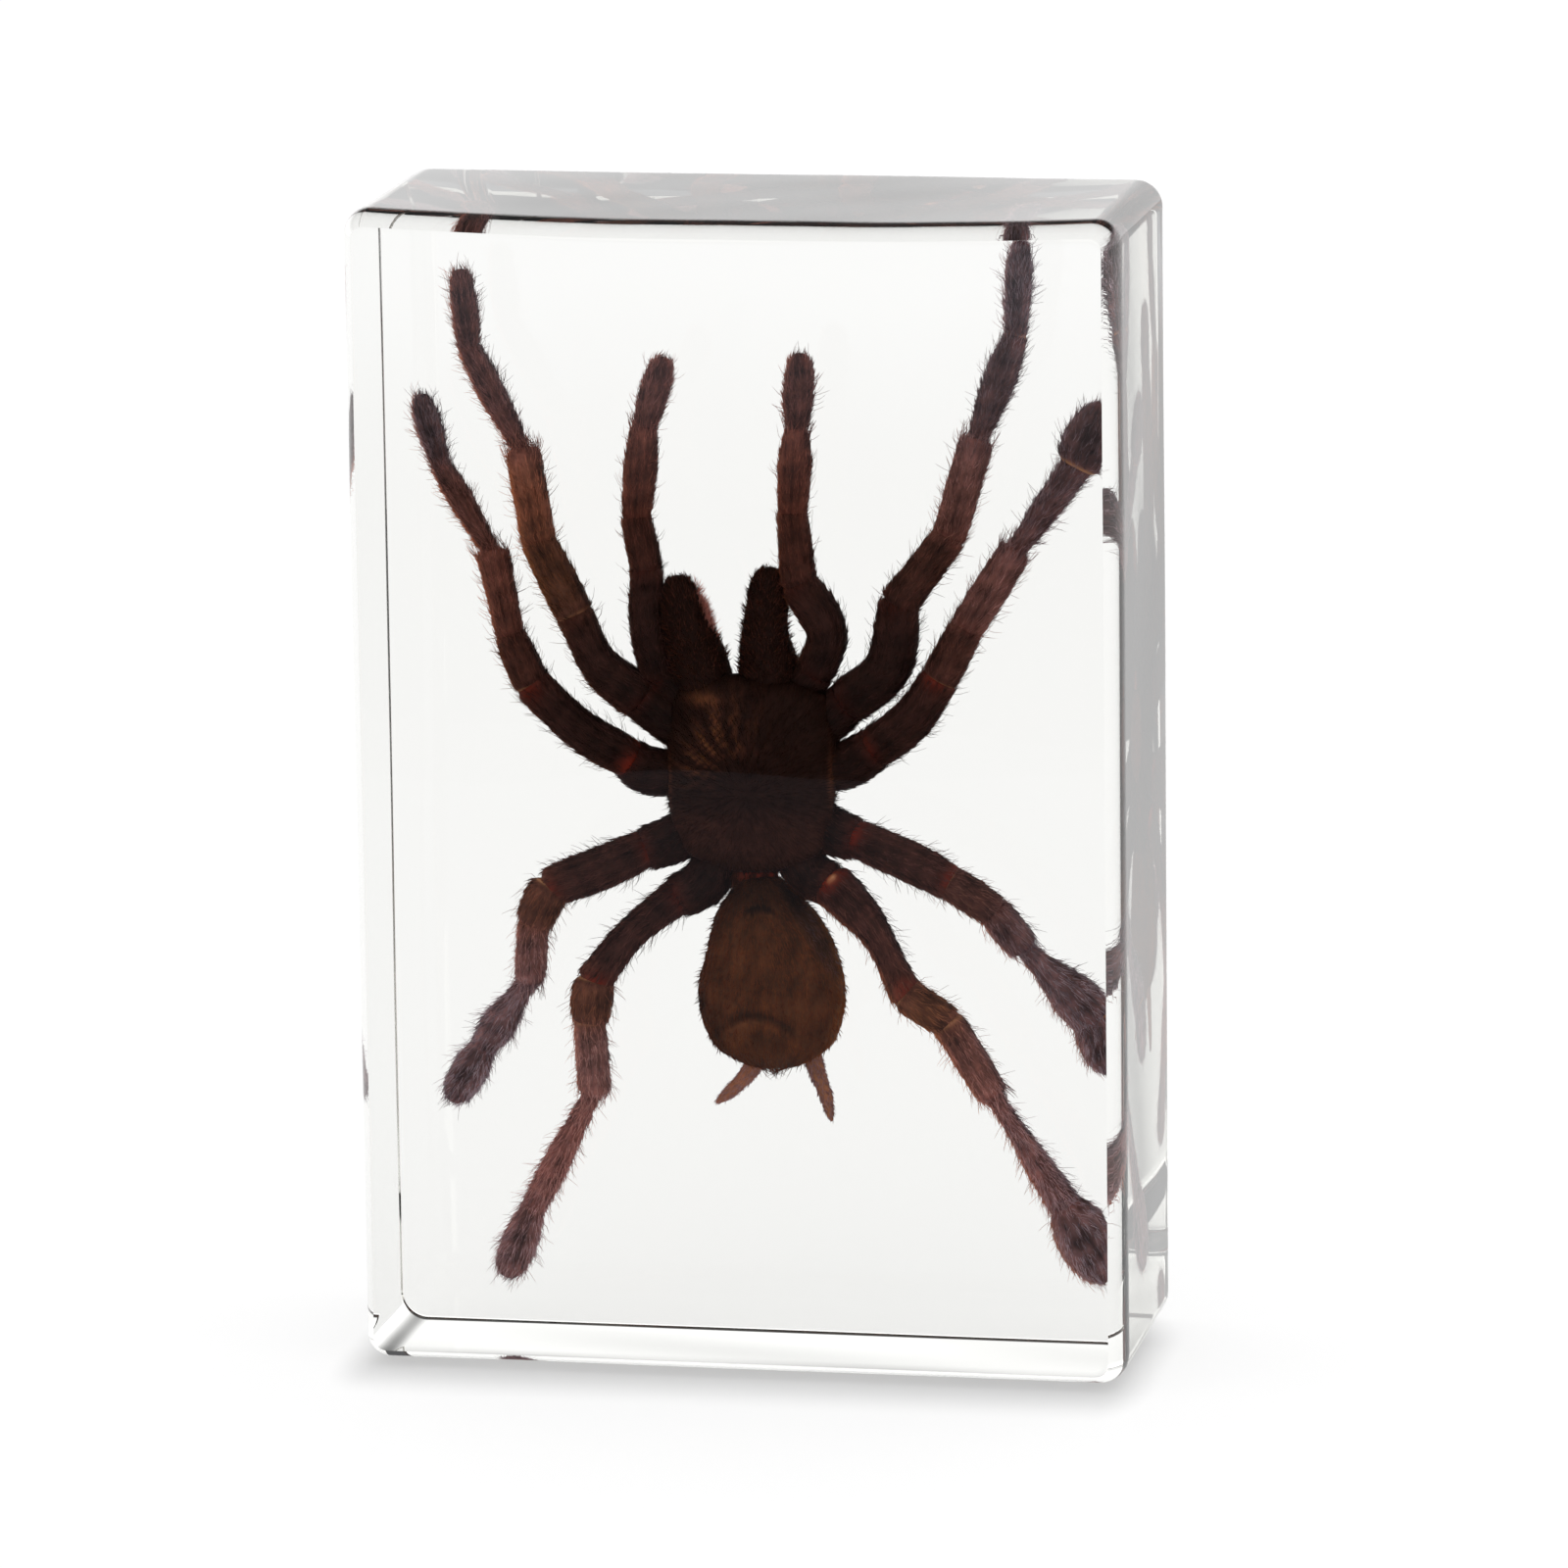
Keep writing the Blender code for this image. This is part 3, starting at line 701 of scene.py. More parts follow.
# The jaws are two stout horn lobes under the front of the carapace, each with a curved fang
# folded beneath it. A fringe of pinkish hair lines the left one's inner edge.
JAWS = {
    "chelicera_left": (
        ((-3.3, 1.2, 60.5), (-4.7, 0.3, 66.5), (-5.75, -0.5, 70.1), (-6.7, -0.4, 74.9)),
        (2.7, 2.85, 2.3, 1.5)),
    "chelicera_right": (
        ((1.7, 1.2, 60.5), (1.9, 0.3, 66.3), (1.8, -0.5, 70.1), (2.45, -0.4, 75.9)), (2.75, 2.8, 2.2, 1.75)),
}
JAW_HAIRS = 3000
FRINGE_HAIRS = 3600
HAIR = hair_finish(
    "spider hair", (0.011, 0.0055, 0.0045), (0.70, 0.20, 0.115), (0.56, 0.41, 0.45), (0.72, 0.27, 0.108))


def inner_edge(u, v):
    """Bare but for a strip along the lobe's right side, past its middle."""
    return 1 - np.exp(-((v + 0.5) % 1 - 0.5) ** 2 / 0.03 ** 2) * bell((u - 0.72) / 0.13)


rng = np.random.default_rng(13)
for name, (path, widths) in JAWS.items():
    lobe = loft(path, widths, np.array(widths) * 1.05, near=0.1, far=0.12)
    tip = np.array(path[-1])
    fang_path = tip + np.array([(0.0, 0.8, -0.8), (0.2, 2.2, -1.6), (0.3, 2.6, -4.0), (0.3, 2.2, -6.0)])
    fang = loft(fang_path, (0.75, 0.65, 0.5, 0.3), (0.75, 0.65, 0.5, 0.3), near=0.1, far=0.3, thin=0)
    skin_piece(name, [
        {"shape": lobe, "rows": 40, "sides": 40, "tone": constant(0.03)},
        {"shape": fang, "rows": 24, "sides": 14, "tone": constant(0), "red": constant(0.06)},
    ], SKIN)
    hair = [
        grow_hair(rng, lobe, JAW_HAIRS, (0.45, 0.9), (8, 26), constant(0.03), spread=0.6),
        grow_hair(rng, lobe, 900, (0.5, 1.0), (35, 80), constant(0.08), span=(0.3, 0.98), girth=0.04,
                  spread=0.7),
    ]
    if name == "chelicera_left":
        hair.append(grow_hair(
            rng, lobe, FRINGE_HAIRS, (0.8, 1.4), (35, 80), constant(0.75), span=(0.5, 0.92), girth=0.035,
            dust_and_sheen=constant(0.25), bare=inner_edge, spread=0.5))
    hair_piece(name + "_hair", hair, HAIR)

# The eight legs. Each has hard parts, hinged by soft reddish skin where they meet, and a coat of
# short velvet hair with longer bristles, thickest on the feet. Joints are in mm, as (across, back,
# up), and the half widths of each part take in the short hair.
LEGS = {
    "leg_left_1": {
        "joints": (
            (-7.5, 0.8, 61.0), (-10.4, 0.0, 63.2), (-13.9, -1.2, 66.3), (-16.15, -2.0, 71.2),
            (-19.45, -2.0, 77.9), (-20.95, -0.8, 86.2), (-26.15, 0.8, 95.8), (-26.95, 1.2, 103.3)),
        "femur": (2.4, 2.2, 1.85, 1.95), "patella": (1.95, 1.95, 1.7), "tibia": (1.75, 1.75, 1.75),
        "metatarsus": (0.9, 1.3, 1.5, 1.2), "tarsus": (1.1, 1.4, 1.4, 1.15),
        "tones": (0.04, 0.084, 0.208, 0.436, 0.336, 0.344), "dust_and_sheen": (0.35, 0.35, 0.2, 0.14, 0.45, 0.42),
        "gold": (0, 0.1, 0.7, 0.4, 0, 0), "patella_pale": 0.3},
    "leg_left_2": {
        "joints": (
            (-9.25, 0.8, 56.0), (-11.25, 0.0, 57.2), (-15.9, -1.2, 60.1), (-20.4, -2.0, 64.45),
            (-22.35, -2.0, 69.0), (-24.0, -0.8, 76.5), (-29.15, 0.8, 84.75), (-31.05, 1.2, 91.4)),
        "femur": (2.05, 2.1, 1.95, 1.95), "patella": (1.9, 1.8, 1.55), "tibia": (1.5, 1.55, 1.75),
        "metatarsus": (0.95, 1.2, 1.4, 1.05), "tarsus": (1.05, 1.35, 1.45, 1.1),
        "tones": (0.04, 0.068, 0.136, 0.288, 0.32, 0.368), "dust_and_sheen": (0.3, 0.3, 0.15, 0.2, 0.4, 0.9),
        "gold": (0, 0, 0.1, 0.1, 0.15, 0), "femur_red": (0.9, 0.5), "patella_pale": 0.6},
    "leg_left_3": {
        "joints": (
            (-6.75, 0.8, 49.9), (-10.0, 0.0, 48.7), (-14.25, -1.2, 46.8), (-19.0, -2.0, 45.0),
            (-20.65, -2.0, 41.5), (-21.25, -0.8, 36.0), (-26.05, 0.8, 29.0), (-29.4, 1.2, 23.5)),
        "femur": (1.9, 2.1, 2.15, 1.9), "patella": (2.0, 2.05, 1.8), "tibia": (1.6, 1.6, 1.5),
        "metatarsus": (0.95, 1.35, 1.85, 1.35), "tarsus": (1.2, 1.85, 1.85, 1.35),
        "tones": (0.04, 0.12, 0.272, 0.52, 0.584, 0.744), "dust_and_sheen": (0.3, 0.3, 0.15, 0.55, 0.95, 1),
        "gold": (0, 0, 0.45, 0.1, 0, 0), "femur_red": (0.6, 0.6), "patella_pale": 0.7, "tibia_pale": 0.3,
        "tarsus_pale": 0.4},
    "leg_left_4": {
        "joints": (
            (-4.15, 0.8, 46.0), (-7.0, 0.0, 44.2), (-11.4, -1.2, 40.6), (-14.95, -2.0, 36.05),
            (-15.4, -2.0, 32.25), (-15.2, -0.8, 25.4), (-21.5, 0.8, 13.55), (-24.4, 1.2, 6.5)),
        "femur": (1.95, 1.65, 1.65, 1.9), "patella": (2.0, 2.1, 1.8), "tibia": (1.6, 1.65, 1.65),
        "metatarsus": (1.0, 1.2, 1.5, 1.3), "tarsus": (1.15, 1.75, 1.9, 1.45),
        "tones": (0.04, 0.128, 0.296, 0.584, 0.848, 0.84), "dust_and_sheen": (0.3, 0.3, 0.15, 0.62, 0.42, 0.8),
        "gold": (0, 0, 0.5, 0.2, 0.05, 0.05), "femur_red": (0.4, 0.9), "patella_pale": 0.8, "tibia_pale": 0.5,
        "tarsus_pale": 0.3},
    "leg_right_1": {
        "joints": (
            (7.5, 0.8, 61.5), (9.5, 0.0, 63.3), (13.5, -1.2, 66.8), (14.65, -2.0, 72.9),
            (19.45, -2.0, 79.2), (21.95, -0.8, 88.0), (25.5, 0.8, 97.75), (26.1, 1.2, 107.25)),
        "femur": (2.4, 2.3, 2.3, 2.0), "patella": (2.0, 1.8, 1.75), "tibia": (1.7, 1.7, 1.7),
        "metatarsus": (0.95, 1.5, 1.7, 1.25), "tarsus": (1.15, 1.4, 1.4, 0.9),
        "tones": (0.04, 0.052, 0.136, 0.392, 0.26, 0.512), "dust_and_sheen": (0.35, 0.35, 0.25, 0.5, 0.85, 1),
        "gold": (0, 0, 0.2, 0.15, 0, 0), "tarsus_pale": 0.8},
    "leg_right_2": {
        "joints": (
            (8.75, 0.8, 57.0), (12.0, 0.0, 58.9), (15.6, -1.2, 61.8), (18.45, -2.0, 65.85),
            (20.95, -2.0, 70.6), (25.4, -0.8, 77.7), (31.3, 0.8, 86.0), (34.2, 1.2, 91.8)),
        "femur": (2.15, 2.15, 2.0, 1.9), "patella": (1.9, 1.85, 1.75), "tibia": (1.7, 1.75, 1.6),
        "metatarsus": (1.0, 1.4, 1.6, 1.7), "tarsus": (2.3, 2.7, 2.45, 1.4),
        "tones": (0.04, 0.08, 0.16, 0.38, 0.408, 0.352), "dust_and_sheen": (0.3, 0.3, 0.25, 0.5, 0.88, 0.92),
        "gold": (0, 0, 0.1, 0.1, 0, 0), "femur_red": (0.5, 0.6), "patella_pale": 0.5, "tarsus_pale": 0.9},
    "leg_right_3": {
        "joints": (
            (7.5, 0.8, 50.9), (10.0, 0.0, 50.25), (15.25, -1.2, 48.3), (19.25, -2.0, 46.5),
            (23.4, -2.0, 43.9), (25.85, -0.8, 40.5), (32.6, 0.8, 33.6), (34.0, 1.2, 28.2)),
        "femur": (1.95, 2.0, 2.0, 1.8), "patella": (1.8, 1.8, 1.65), "tibia": (1.65, 1.8, 1.65),
        "metatarsus": (1.0, 1.5, 2.4, 2.5), "tarsus": (2.4, 2.5, 2.3, 1.5),
        "tones": (0.04, 0.134, 0.224, 0.364, 0.512, 0.744), "dust_and_sheen": (0.3, 0.3, 0.35, 0.8, 1, 1),
        "gold": (0, 0, 0.2, 0.05, 0, 0), "femur_red": (0.8, 0.7), "patella_pale": 0.6, "tarsus_pale": 0.7},
    "leg_right_4": {
        "joints": (
            (5.3, 0.8, 46.9), (7.6, 0.0, 45.9), (11.75, -1.2, 41.7), (15.0, -2.0, 35.6),
            (18.9, -2.0, 33.1), (22.8, -0.8, 26.4), (29.7, 0.8, 15.2), (34.2, 1.2, 8.3)),
        "femur": (2.4, 2.0, 1.5, 1.75), "patella": (1.85, 1.8, 1.65), "tibia": (1.65, 1.7, 1.6),
        "metatarsus": (1.0, 1.15, 1.55, 1.8), "tarsus": (1.9, 2.9, 3.0, 2.2),
        "tones": (0.04, 0.176, 0.32, 0.464, 0.744, 0.784), "dust_and_sheen": (0.26, 0.26, 0.15, 0.4, 0.62, 1),
        # The hind femur's pale spot is a painted highlight.
        "gold": (0, 0, 0.7, 0.15, 0, 0), "femur_red": (1.0, 0.9), "femur_spot": 0.9, "patella_pale": 0.7,
        "tibia_pale": 0.4},
}
LEG_DEPTH_SHARE = 0.95
COXA_WIDTHS = (1.9, 2.2, 2.4, 2.3, 2.15)
BODY_MIDDLE = np.array([0.25, 0.9, 56.0])
ROOT_SHARE = 0.45
PART_OVERLAP = 0.55
VELVET_PER_MM = 95
BRISTLES_PER_MM = 13
TUFT_HAIRS = 45
# The direction, across and up, that the limbs' painted rim light comes from; the opposite edge gets painted
# shade and sheen.
LIT_SIDE = np.array([-0.86, -0.5])
FOOT_COAT_ALLOWANCE = 0.24
# How much painted shade darkens the middle of each kind of part.
CORE_SHADES = {"coxa": 0.2, "femur": 0.35, "patella": 0.2, "tibia": 0.12, "metatarsus": 0.3, "tarsus": 0.5}


def soft_joint(near, far, seed, share=0.11):
    """Redness of the soft skin at a part's two ends, in patches round it, fading over a share of it."""
    def red(u, v):
        patches = wave(2 * v + 0.37 * seed) * wave(v + 0.21 * seed)
        ends = near * bell(u / share) + far * bell((1 - u) / share)
        return held(ends * (0.55 + 0.45 * patches))
    return red


def pale_line(strength, spot, place=0.05, width=0.026):
    """A thin pale ridge round a part's near end, where its hard skin begins, and a pale spot on its front
    painted as a highlight.
    """
    def pale(u, v):
        # The spot is a painted highlight.
        mark = bell((u - 0.055) / 0.022, (v - 0.69) / 0.03)
        return strength * bell((u - place) / width) + spot * mark
    return pale


def drifting(values, number, reach=0.2):
    """One part's value along it, which runs halfway to each neighbour's value towards that end."""
    here = values[number]
    before, after = values[max(number - 1, 0)], values[min(number + 1, len(values) - 1)]
    return lambda u: here + (before - here) / 2 * bell(u / reach) + (
        after - here) / 2 * bell((1 - u) / reach)


def limb_coat(limb, number, name, side, length):
    """
    Tone, dust and gold of one part. The tone has fine streaks along it and blots, and a painted shade along
    the middle. One edge, by the cosine round the part times side, has a painted rim light, lighter and
    golden;
    the other has a painted shade, darker, with a painted bluish-grey sheen in its dust mark.
    """
    tones, dusts, golds = (drifting(limb[key], number) for key in ("tones", "dust_and_sheen", "gold"))

    # Painted rim light on the lit edge and painted shade on the other, each a narrow band.
    def edges(v):
        around = np.cos(2 * np.pi * v) * side
        return held(around) ** 6, held(-around) ** 6

    def tone(u, v):
        waves = np.sin(2 * np.pi * (7 * v + 0.13 * number) + 2 * u) * np.sin(
            2 * np.pi * (19 * v + 0.29 * number) + 3 * u)
        blots = wave(u * length / 3.3 + v + 0.3 * number) * wave(2 * v - u * length / 5.7 + 0.17 * number)
        rim_lit, rim_shaded = edges(v)
        # Painted shade along the middle of the part, seen face on.
        middle = wave(v) ** 2
        shade = 1.15 + 0.5 * waves + 0.35 * blots - CORE_SHADES[name] * middle + 2.8 * rim_lit - 0.5 * rim_shaded
        return held(tones(u) * np.clip(shade, 0.15, 5))

    # The dust mark takes a painted bluish-grey sheen on the shaded edge and loses some on the lit edge.
    def dust_and_sheen(u, v):
        rim_lit, rim_shaded = edges(v)
        return held(dusts(u) + 0.4 * rim_shaded - 0.5 * rim_lit)

    # Gold also carries the painted rim light on the lit edge.
    def gold(u, v):
        return held(golds(u) + 0.6 * edges(v)[0])

    return {"tone": tone, "dust_and_sheen": dust_and_sheen, "gold": gold}


def tufted(length, seed):
    """Where hair stands up in tufts: waves 0.8 mm long along a part's length, crossed by waves round it."""
    def tuft(u, v):
        along = wave(u * length / 0.8 + 0.5 * np.sin(6 * np.pi * v + seed))
        return 0.5 + 0.5 * along * np.sin(2 * np.pi * 5 * v + 1.3 * seed)
    return tuft


def limb_parts(limb, names):
    """
    A form for each hard part of a limb, from joint to joint, overlapping a little in the soft joints. The
    first two parts run over two of the joints' stretches each, as they bend in the middle.
    """
    hip = np.array(limb["joints"][0], float)
    joints = np.vstack([BODY_MIDDLE + (hip - BODY_MIDDLE) * ROOT_SHARE, limb["joints"]])
    parts, first = [], 0
    for number, name in enumerate(names):
        last = first + (2 if number < 2 else 1)
        path = joints[first:last + 1].copy()
        widths = np.array(limb.get(name, COXA_WIDTHS), float)
        length = np.linalg.norm(np.diff(path, axis=0), axis=1).sum()
        ahead = unit(path[-1] - path[0])
        path[0] -= unit(path[1] - path[0]) * PART_OVERLAP
        path[-1] += unit(path[-1] - path[-2]) * (0 if name == "tarsus" else PART_OVERLAP)
        cap = min(0.45, 0.5 * widths[0] / length)
        far = min(0.45, (1.2 if name == "tarsus" else 0.5) * widths[-1] / length)
        thin = FOOT_COAT_ALLOWANCE if name in ("metatarsus", "tarsus") else COAT_ALLOWANCE
        parts.append({
            "name": name, "length": length,
            # How far this part's edge turns to the lit side, for its painted rim light and shade.
            **limb_coat(limb, number, name, np.dot((ahead[2], -ahead[0]), LIT_SIDE), length),
            "shape": loft(path, widths, widths * LEG_DEPTH_SHARE, near=cap, far=far, blunt=2.6, thin=thin),
            "red": soft_joint(*limb.get(name + "_red", (0.12, 0.12)), last),
            "pale": pale_line(limb.get(name + "_pale", 0.0), limb.get(name + "_spot", 0.0)),
            "rows": int(14 + length * 3), "sides": 28})
        first = last
    return parts


def build_limb(name, limb, names, seed):
    """
    Skin and hair of one limb: velvet all over it, bristles that stand out, more of them towards the foot,
    and a tuft of long hair at the shin's end.
    """
    rng = np.random.default_rng(seed)
    parts = limb_parts(limb, names)
    skin_piece(name, parts, SKIN)
    velvet, bristles = [], []
    for number, part in enumerate(parts):
        def bare(u, v, part=part):
            return 1.6 * part["red"](u, v) + 1.4 * part["pale"](u, v)
        foot = part["name"] in ("metatarsus", "tarsus")
        given = (rng, part["shape"])
        coat = {"tone": part["tone"], "dust_and_sheen": part["dust_and_sheen"], "gold": part["gold"], "bare": bare}
        velvet.append(grow_hair(
            *given, int(part["length"] * VELVET_PER_MM), (0.5, 1.0), (6, 42 if foot else 26), girth=0.04,
            sway=0.2, tufts=tufted(part["length"], seed + number), **coat))
        if number > 0:
            count = int(part["length"] * BRISTLES_PER_MM * (1 + 0.2 * number) * limb.get("bristly", 1))
            bristles.append(grow_hair(
                *given, count, (0.9, 2.0), (35, 85), girth=0.022, curl=0.9, spread=0.5, **coat))
        if part["name"] == "tibia":
            bristles.append(grow_hair(
                *given, TUFT_HAIRS, (1.2, 2.1), (20, 55), span=(0.9, 0.985), girth=0.035, curl=0.5, **coat))
    hair_piece(name + "_velvet", velvet, HAIR)
    hair_piece(name + "_bristles", bristles, HAIR, rings=3)


LEG_PARTS = ("coxa", "femur", "patella", "tibia", "metatarsus", "tarsus")
for number, (name, limb) in enumerate(LEGS.items()):
    build_limb(name, limb, LEG_PARTS, seed=20 + number)

# The two palps are like small legs beside the jaws, with one part less and no long foot. Their coat
# is as on the legs, with fewer bristles.
PALPS = {
    "palp_left": {
        "joints": (
            (-6.5, 0.5, 63.75), (-8.4, 0.0, 65.0), (-9.4, -0.8, 70.0), (-9.3, -1.2, 75.5),
            (-10.25, -1.0, 80.25), (-9.55, 0.0, 88.5), (-7.55, 0.6, 95.4)),
        "coxa": (1.8, 1.85, 1.8), "femur": (1.75, 1.75, 1.7, 1.65), "patella": (1.65, 1.65, 1.5),
        "tibia": (1.4, 1.6, 1.65, 1.3), "tarsus": (1.2, 1.5, 1.6, 1.2),
        "tones": (0.04, 0.064, 0.12, 0.228, 0.392), "dust_and_sheen": (0.3, 0.3, 0.1, 0.1, 0.38),
        "gold": (0, 0, 0, 0, 0), "tarsus_pale": 0.8, "bristly": 0.4},
    "palp_right": {
        "joints": (
            (5.0, 0.5, 64.0), (6.4, 0.0, 66.0), (7.6, -0.8, 70.0), (5.1, -1.2, 74.4),
            (4.55, -1.0, 81.0), (4.95, 0.0, 88.5), (5.35, 0.6, 96.0)),
        "coxa": (1.9, 1.95, 1.9), "femur": (2.0, 2.0, 2.1, 1.95), "patella": (1.85, 1.7, 1.5),
        "tibia": (1.45, 1.6, 1.65, 1.15), "tarsus": (0.8, 1.55, 1.6, 1.25),
        "tones": (0.04, 0.064, 0.144, 0.252, 0.312), "dust_and_sheen": (0.3, 0.3, 0.1, 0.1, 0.35),
        "gold": (0, 0, 0, 0, 0), "tarsus_pale": 0.9, "bristly": 0.4},
}
PALP_PARTS = ("coxa", "femur", "patella", "tibia", "tarsus")
for number, (name, limb) in enumerate(PALPS.items()):
    build_limb(name, limb, PALP_PARTS, seed=30 + number)

# The spinnerets are two short jointed fingers at the end of the abdomen, pale brown under a coat of
# very short hair.
SPINNERETS = {
    "spinneret_left": ((1.5, 0.5, 30.5), (-0.6, 0.5, 27.2), (-2.1, 0.7, 25.6), (-3.7, 0.8, 24.2)),
    "spinneret_right": ((5.2, 0.5, 30.5), (6.2, 0.5, 27.3), (6.9, 0.7, 25.2), (7.4, 0.8, 22.8)),
}
SPINNERET_WIDTHS = (1.1, 1.0, 0.92, 0.8, 0.78, 0.6, 0.4)
rng = np.random.default_rng(14)
for name, path in SPINNERETS.items():
    finger = loft(path, SPINNERET_WIDTHS, SPINNERET_WIDTHS, near=0.1, far=0.12, thin=0.15)
    tone = constant(0.66 if name == "spinneret_left" else 0.5)
    skin_piece(name, [{"shape": finger, "rows": 30, "sides": 20, "tone": tone, "pale": constant(0.3)}], SKIN)
    hair_piece(name + "_hair", [
        grow_hair(rng, finger, 900, (0.3, 0.55), (15, 45), tone, girth=0.03, dust_and_sheen=constant(0.6)),
    ], HAIR)

# The resin block: one clear casting, polished by hand. Its walls bow in a little towards the flat front,
# which ends in a crisp edge all round. Its four long edges are rounded, its back rim is nearly sharp and
# its top sinks a little. One closed surface stands for both halves that the pocket parts in the solids.
BLOCK_SIZE = np.array([73, 28, 110]) * MM
CORNER_RADIUS = 2.6 * MM
FRONT_BOW_RADIUS = 7.0 * MM
FRONT_BOW_TURN = math.radians(36)
BACK_RIM_RADIUS = 0.3 * MM
BACK_RIM_TURN = math.radians(90)
CORNER_STEPS = np.radians((0, 7, 14, 21, 28, 34, 40, 45))
RIM_STEPS = np.radians((0, 6, 12, 18, 24, 31, 38, 45))
SUPPORT_WIDTH = 0.15 * MM
FACE_STEP = 2.4 * MM
TOP_SINK = 0.95 * MM
WAVE_HEIGHT = 0.04 * MM
TOP_WAVE_HEIGHT = 0.018 * MM
TOP_REACH = 12 * MM
JOIN_DISTANCE = 0.001 * MM
SHARP_ANGLE = math.radians(32)
RESIN_IOR = 1.55
RESIN_TINT = (0.93, 0.93, 0.88, 1)
RESIN_DENSITY = 13.5


def rim_size(radius, turn):
    """How far an arc that leaves the wall and turns by an angle reaches: in from the wall, and along it."""
    return radius * (1 - np.cos(turn)), radius * np.sin(turn)


def edge_stations(axis):
    """
    Places across a sharp face along one axis: an even grid on its flat, then the steps at which each rounding
    turns, up to the sharp edge.
    """
    half = BLOCK_SIZE[axis] / 2
    along = int(axis == 1)
    turns = [half - rim_size(*rim)[along] * (1 - np.tan(RIM_STEPS)) for rim in (
        (FRONT_BOW_RADIUS, FRONT_BOW_TURN), (BACK_RIM_RADIUS, BACK_RIM_TURN))]
    if axis != 1:
        turns.append(half - CORNER_RADIUS * (1 - np.tan(CORNER_STEPS)))
    turns = np.concatenate(turns)
    turns = np.unique(np.round(np.append(turns, turns.min() - SUPPORT_WIDTH), 8))
    turns = turns[np.append(np.diff(turns) > 0.004 * MM, True)]
    flat = turns[0]
    count = int(round(2 * flat / FACE_STEP)) + 1
    return np.concatenate([-turns[::-1], np.linspace(-flat, flat, count)[1:-1], turns])


def face_grid(axis, sign):
    """A sharp face at plus or minus the half size, as a grid with its quads."""
    first, second = [(1, 2), (2, 0), (0, 1)][axis]
    a, b = np.meshgrid(edge_stations(first), edge_stations(second), indexing="ij")
    points = np.empty(a.shape + (3,))
    points[..., axis] = sign * BLOCK_SIZE[axis] / 2
    points[..., first] = a
    points[..., second] = b
    index = np.arange(a.size).reshape(a.shape)
    quads = np.stack([index[:-1, :-1], index[1:, :-1], index[1:, 1:], index[:-1, 1:]], -1).reshape(-1, 4)
    return points.reshape(-1, 3), quads[:, ::sign]


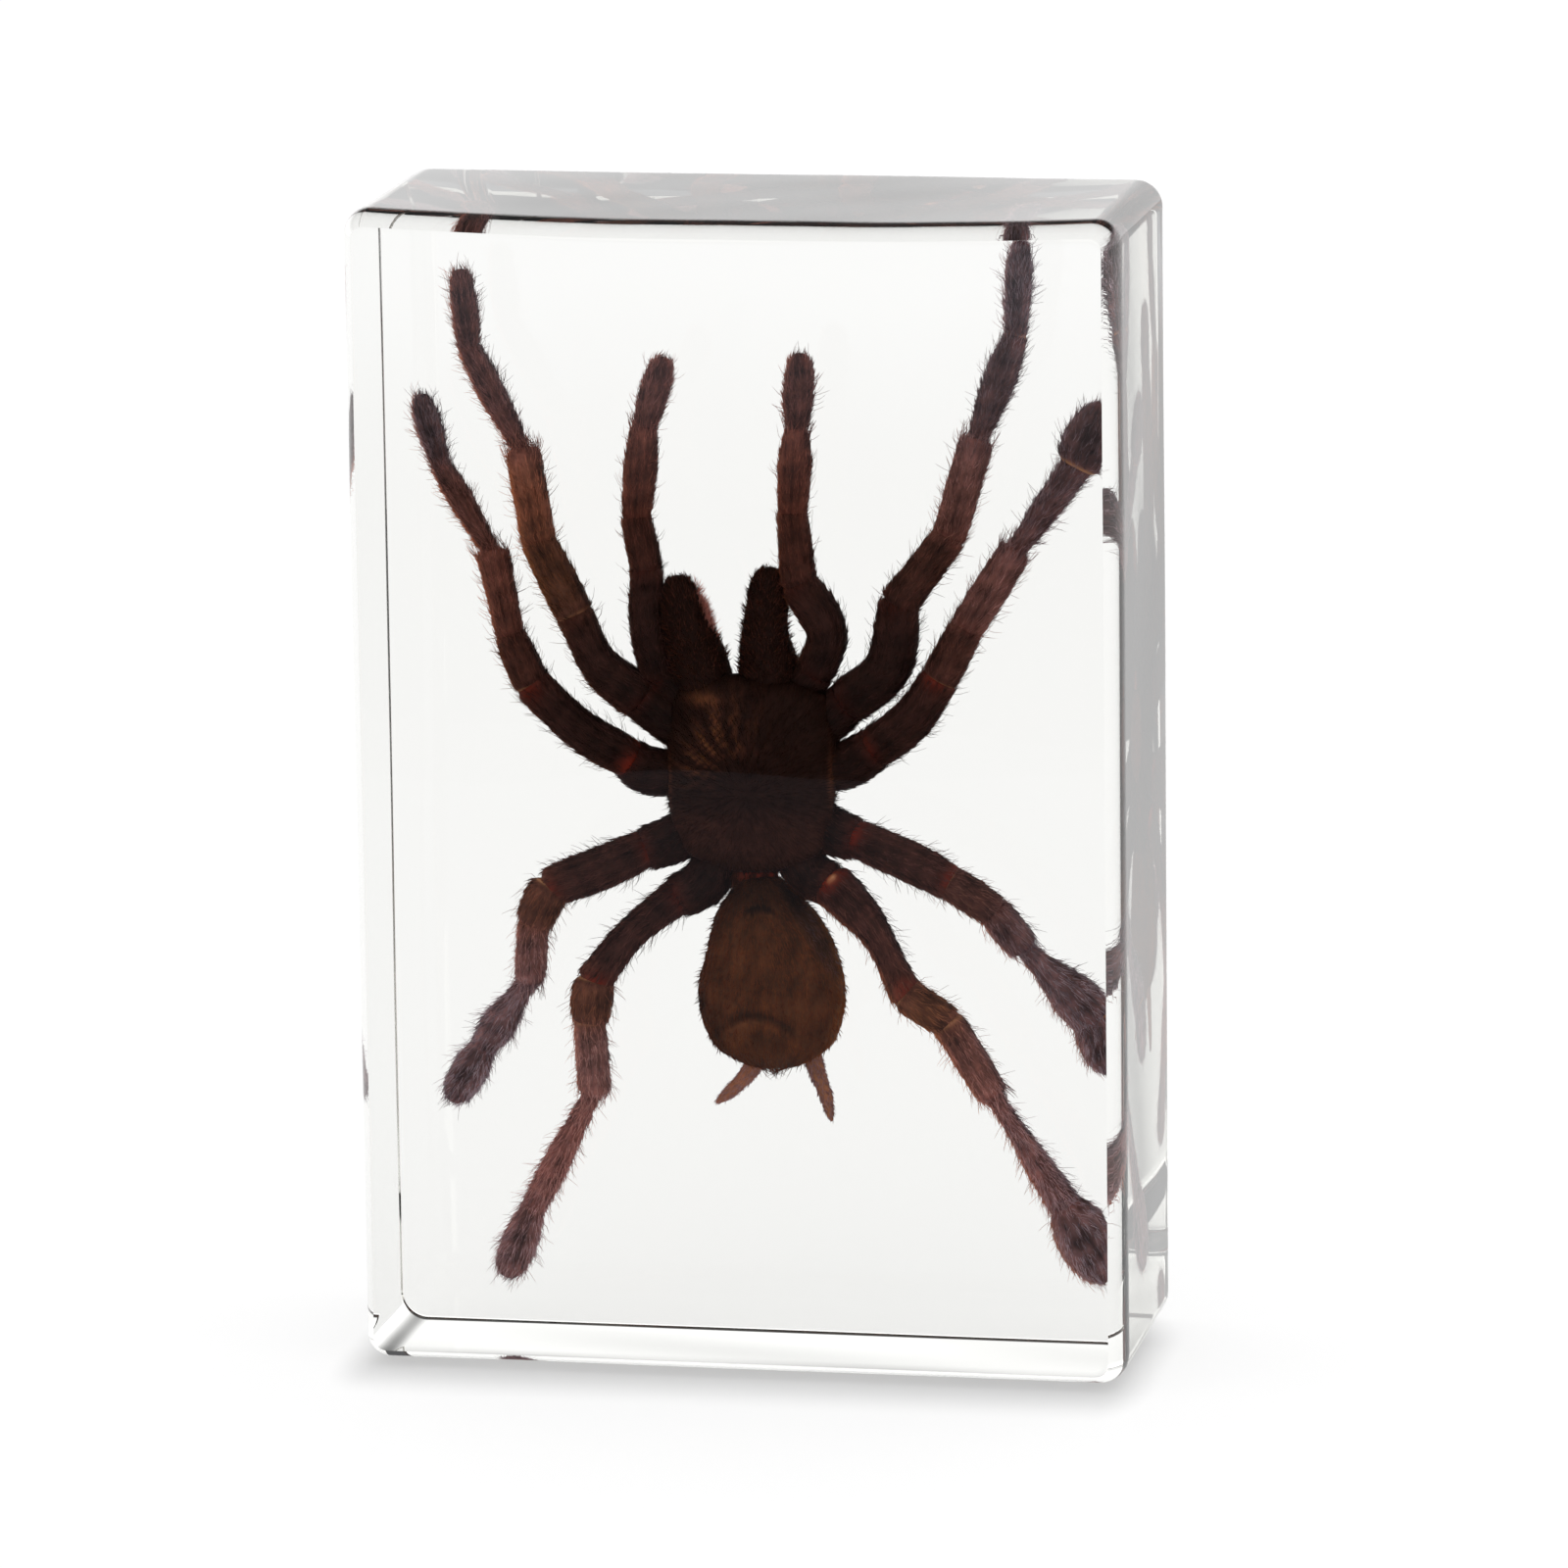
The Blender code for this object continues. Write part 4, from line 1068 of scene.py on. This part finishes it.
def round_and_polish(points):
    """
    Seen from the front, squares round each corner of an inner box become circles. Seen from the side, the
    sharp rim becomes an arc that leaves the wall and turns by the bow's angle. Its angle grows with the
    angle of the sharp rim's point as seen from the rim's inner corner. Then the faces wave by sines, always
    inwards, and the top sinks towards the front, most in its middle.
    """
    half_width, half_depth, half_height = BLOCK_SIZE / 2
    flat, y = points[:, [0, 2]], points[:, 1]
    half = np.array([half_width, half_height])
    inner = np.clip(flat, CORNER_RADIUS - half, half - CORNER_RADIUS)
    spread = flat - inner
    reach = np.abs(spread).max(axis=1)
    outward = unit(spread)
    radius = np.where(y < 0, FRONT_BOW_RADIUS, BACK_RIM_RADIUS)
    turn = np.where(y < 0, FRONT_BOW_TURN, BACK_RIM_TURN)
    inset, along = rim_size(radius, turn)
    over_rim = np.maximum(reach - (CORNER_RADIUS - inset), 0)
    over_face = np.maximum(np.abs(y) - (half_depth - along), 0)
    on_rim = (over_rim > 0) & (over_face > 0)
    angle = turn * np.arctan2(over_face / along, over_rim / inset) / (np.pi / 2)
    wide = np.where(on_rim, inset - radius * (1 - np.cos(angle)), over_rim)
    deep = np.where(on_rim, radius * np.sin(angle), over_face)
    reach = np.where(over_rim > 0, CORNER_RADIUS - inset + wide, reach)
    y = np.where(over_face > 0, np.sign(y) * (half_depth - along + deep), y)
    made = np.stack([inner[:, 0] + outward[:, 0] * reach, y, inner[:, 1] + outward[:, 1] * reach], 1)
    x, y, z = made.T
    waves = np.sin(x * 170 + z * 90 + 1) + np.sin(z * 150 - y * 210 + 2) + np.sin(y * 260 + x * 130 - z * 60)
    sideways = np.where(on_rim, np.cos(angle), over_rim > 0)
    forwards = np.where(on_rim, np.sin(angle), over_face > 0) * np.sign(y)
    made += np.stack([outward[:, 0] * sideways, forwards, outward[:, 1] * sideways], 1) * (
        WAVE_HEIGHT * (waves / 3 - 1)[:, None])
    across = held(1.15 - 1.15 * (x / half_width) ** 2)
    near_top = held((z - half_height + TOP_REACH) / TOP_REACH) ** 2
    to_front = held(0.5 - y / (2 * half_depth))
    brushed = np.sin(x * 520 + y * 330) + np.sin(x * 310 - y * 640 + 1) + np.sin(x * 900 + 2)
    made[:, 2] -= (TOP_SINK * to_front ** 1.1 + TOP_WAVE_HEIGHT * (1 - brushed / 3)) * across * near_top
    made[:, 2] += half_height
    return made


def cast_block():
    """The six face grids joined in one closed surface, smooth but for its crisp front and back edges."""
    points, quads, start = [], [], 0
    for axis in range(3):
        for sign in (1, -1):
            face_points, face_quads = face_grid(axis, sign)
            points.append(face_points)
            quads.append(face_quads + start)
            start += len(face_points)
    clear, tree, _ = new_finish("clear resin", {
        "Base Color": WHITE, "Roughness": 0.0, "IOR": RESIN_IOR, "Transmission Weight": 1.0})
    absorb = tree.nodes.new("ShaderNodeVolumeAbsorption")
    absorb.inputs["Color"].default_value = RESIN_TINT
    absorb.inputs["Density"].default_value = RESIN_DENSITY
    tree.links.new(absorb.outputs["Volume"], tree.nodes["Material Output"].inputs["Volume"])
    points = round_and_polish(np.vstack(points)).tolist()
    block = put_in_scene("resin_block", points, np.vstack(quads).tolist(), clear)
    joined = bmesh.new()
    joined.from_mesh(block.data)
    bmesh.ops.remove_doubles(joined, verts=joined.verts, dist=JOIN_DISTANCE)
    bmesh.ops.recalc_face_normals(joined, faces=joined.faces)
    joined.to_mesh(block.data)
    joined.free()
    block.data.shade_smooth()
    block.data.set_sharp_from_angle(angle=SHARP_ANGLE)
    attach(block, "root")
    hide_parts("resin_front", "resin_back")


cast_block()
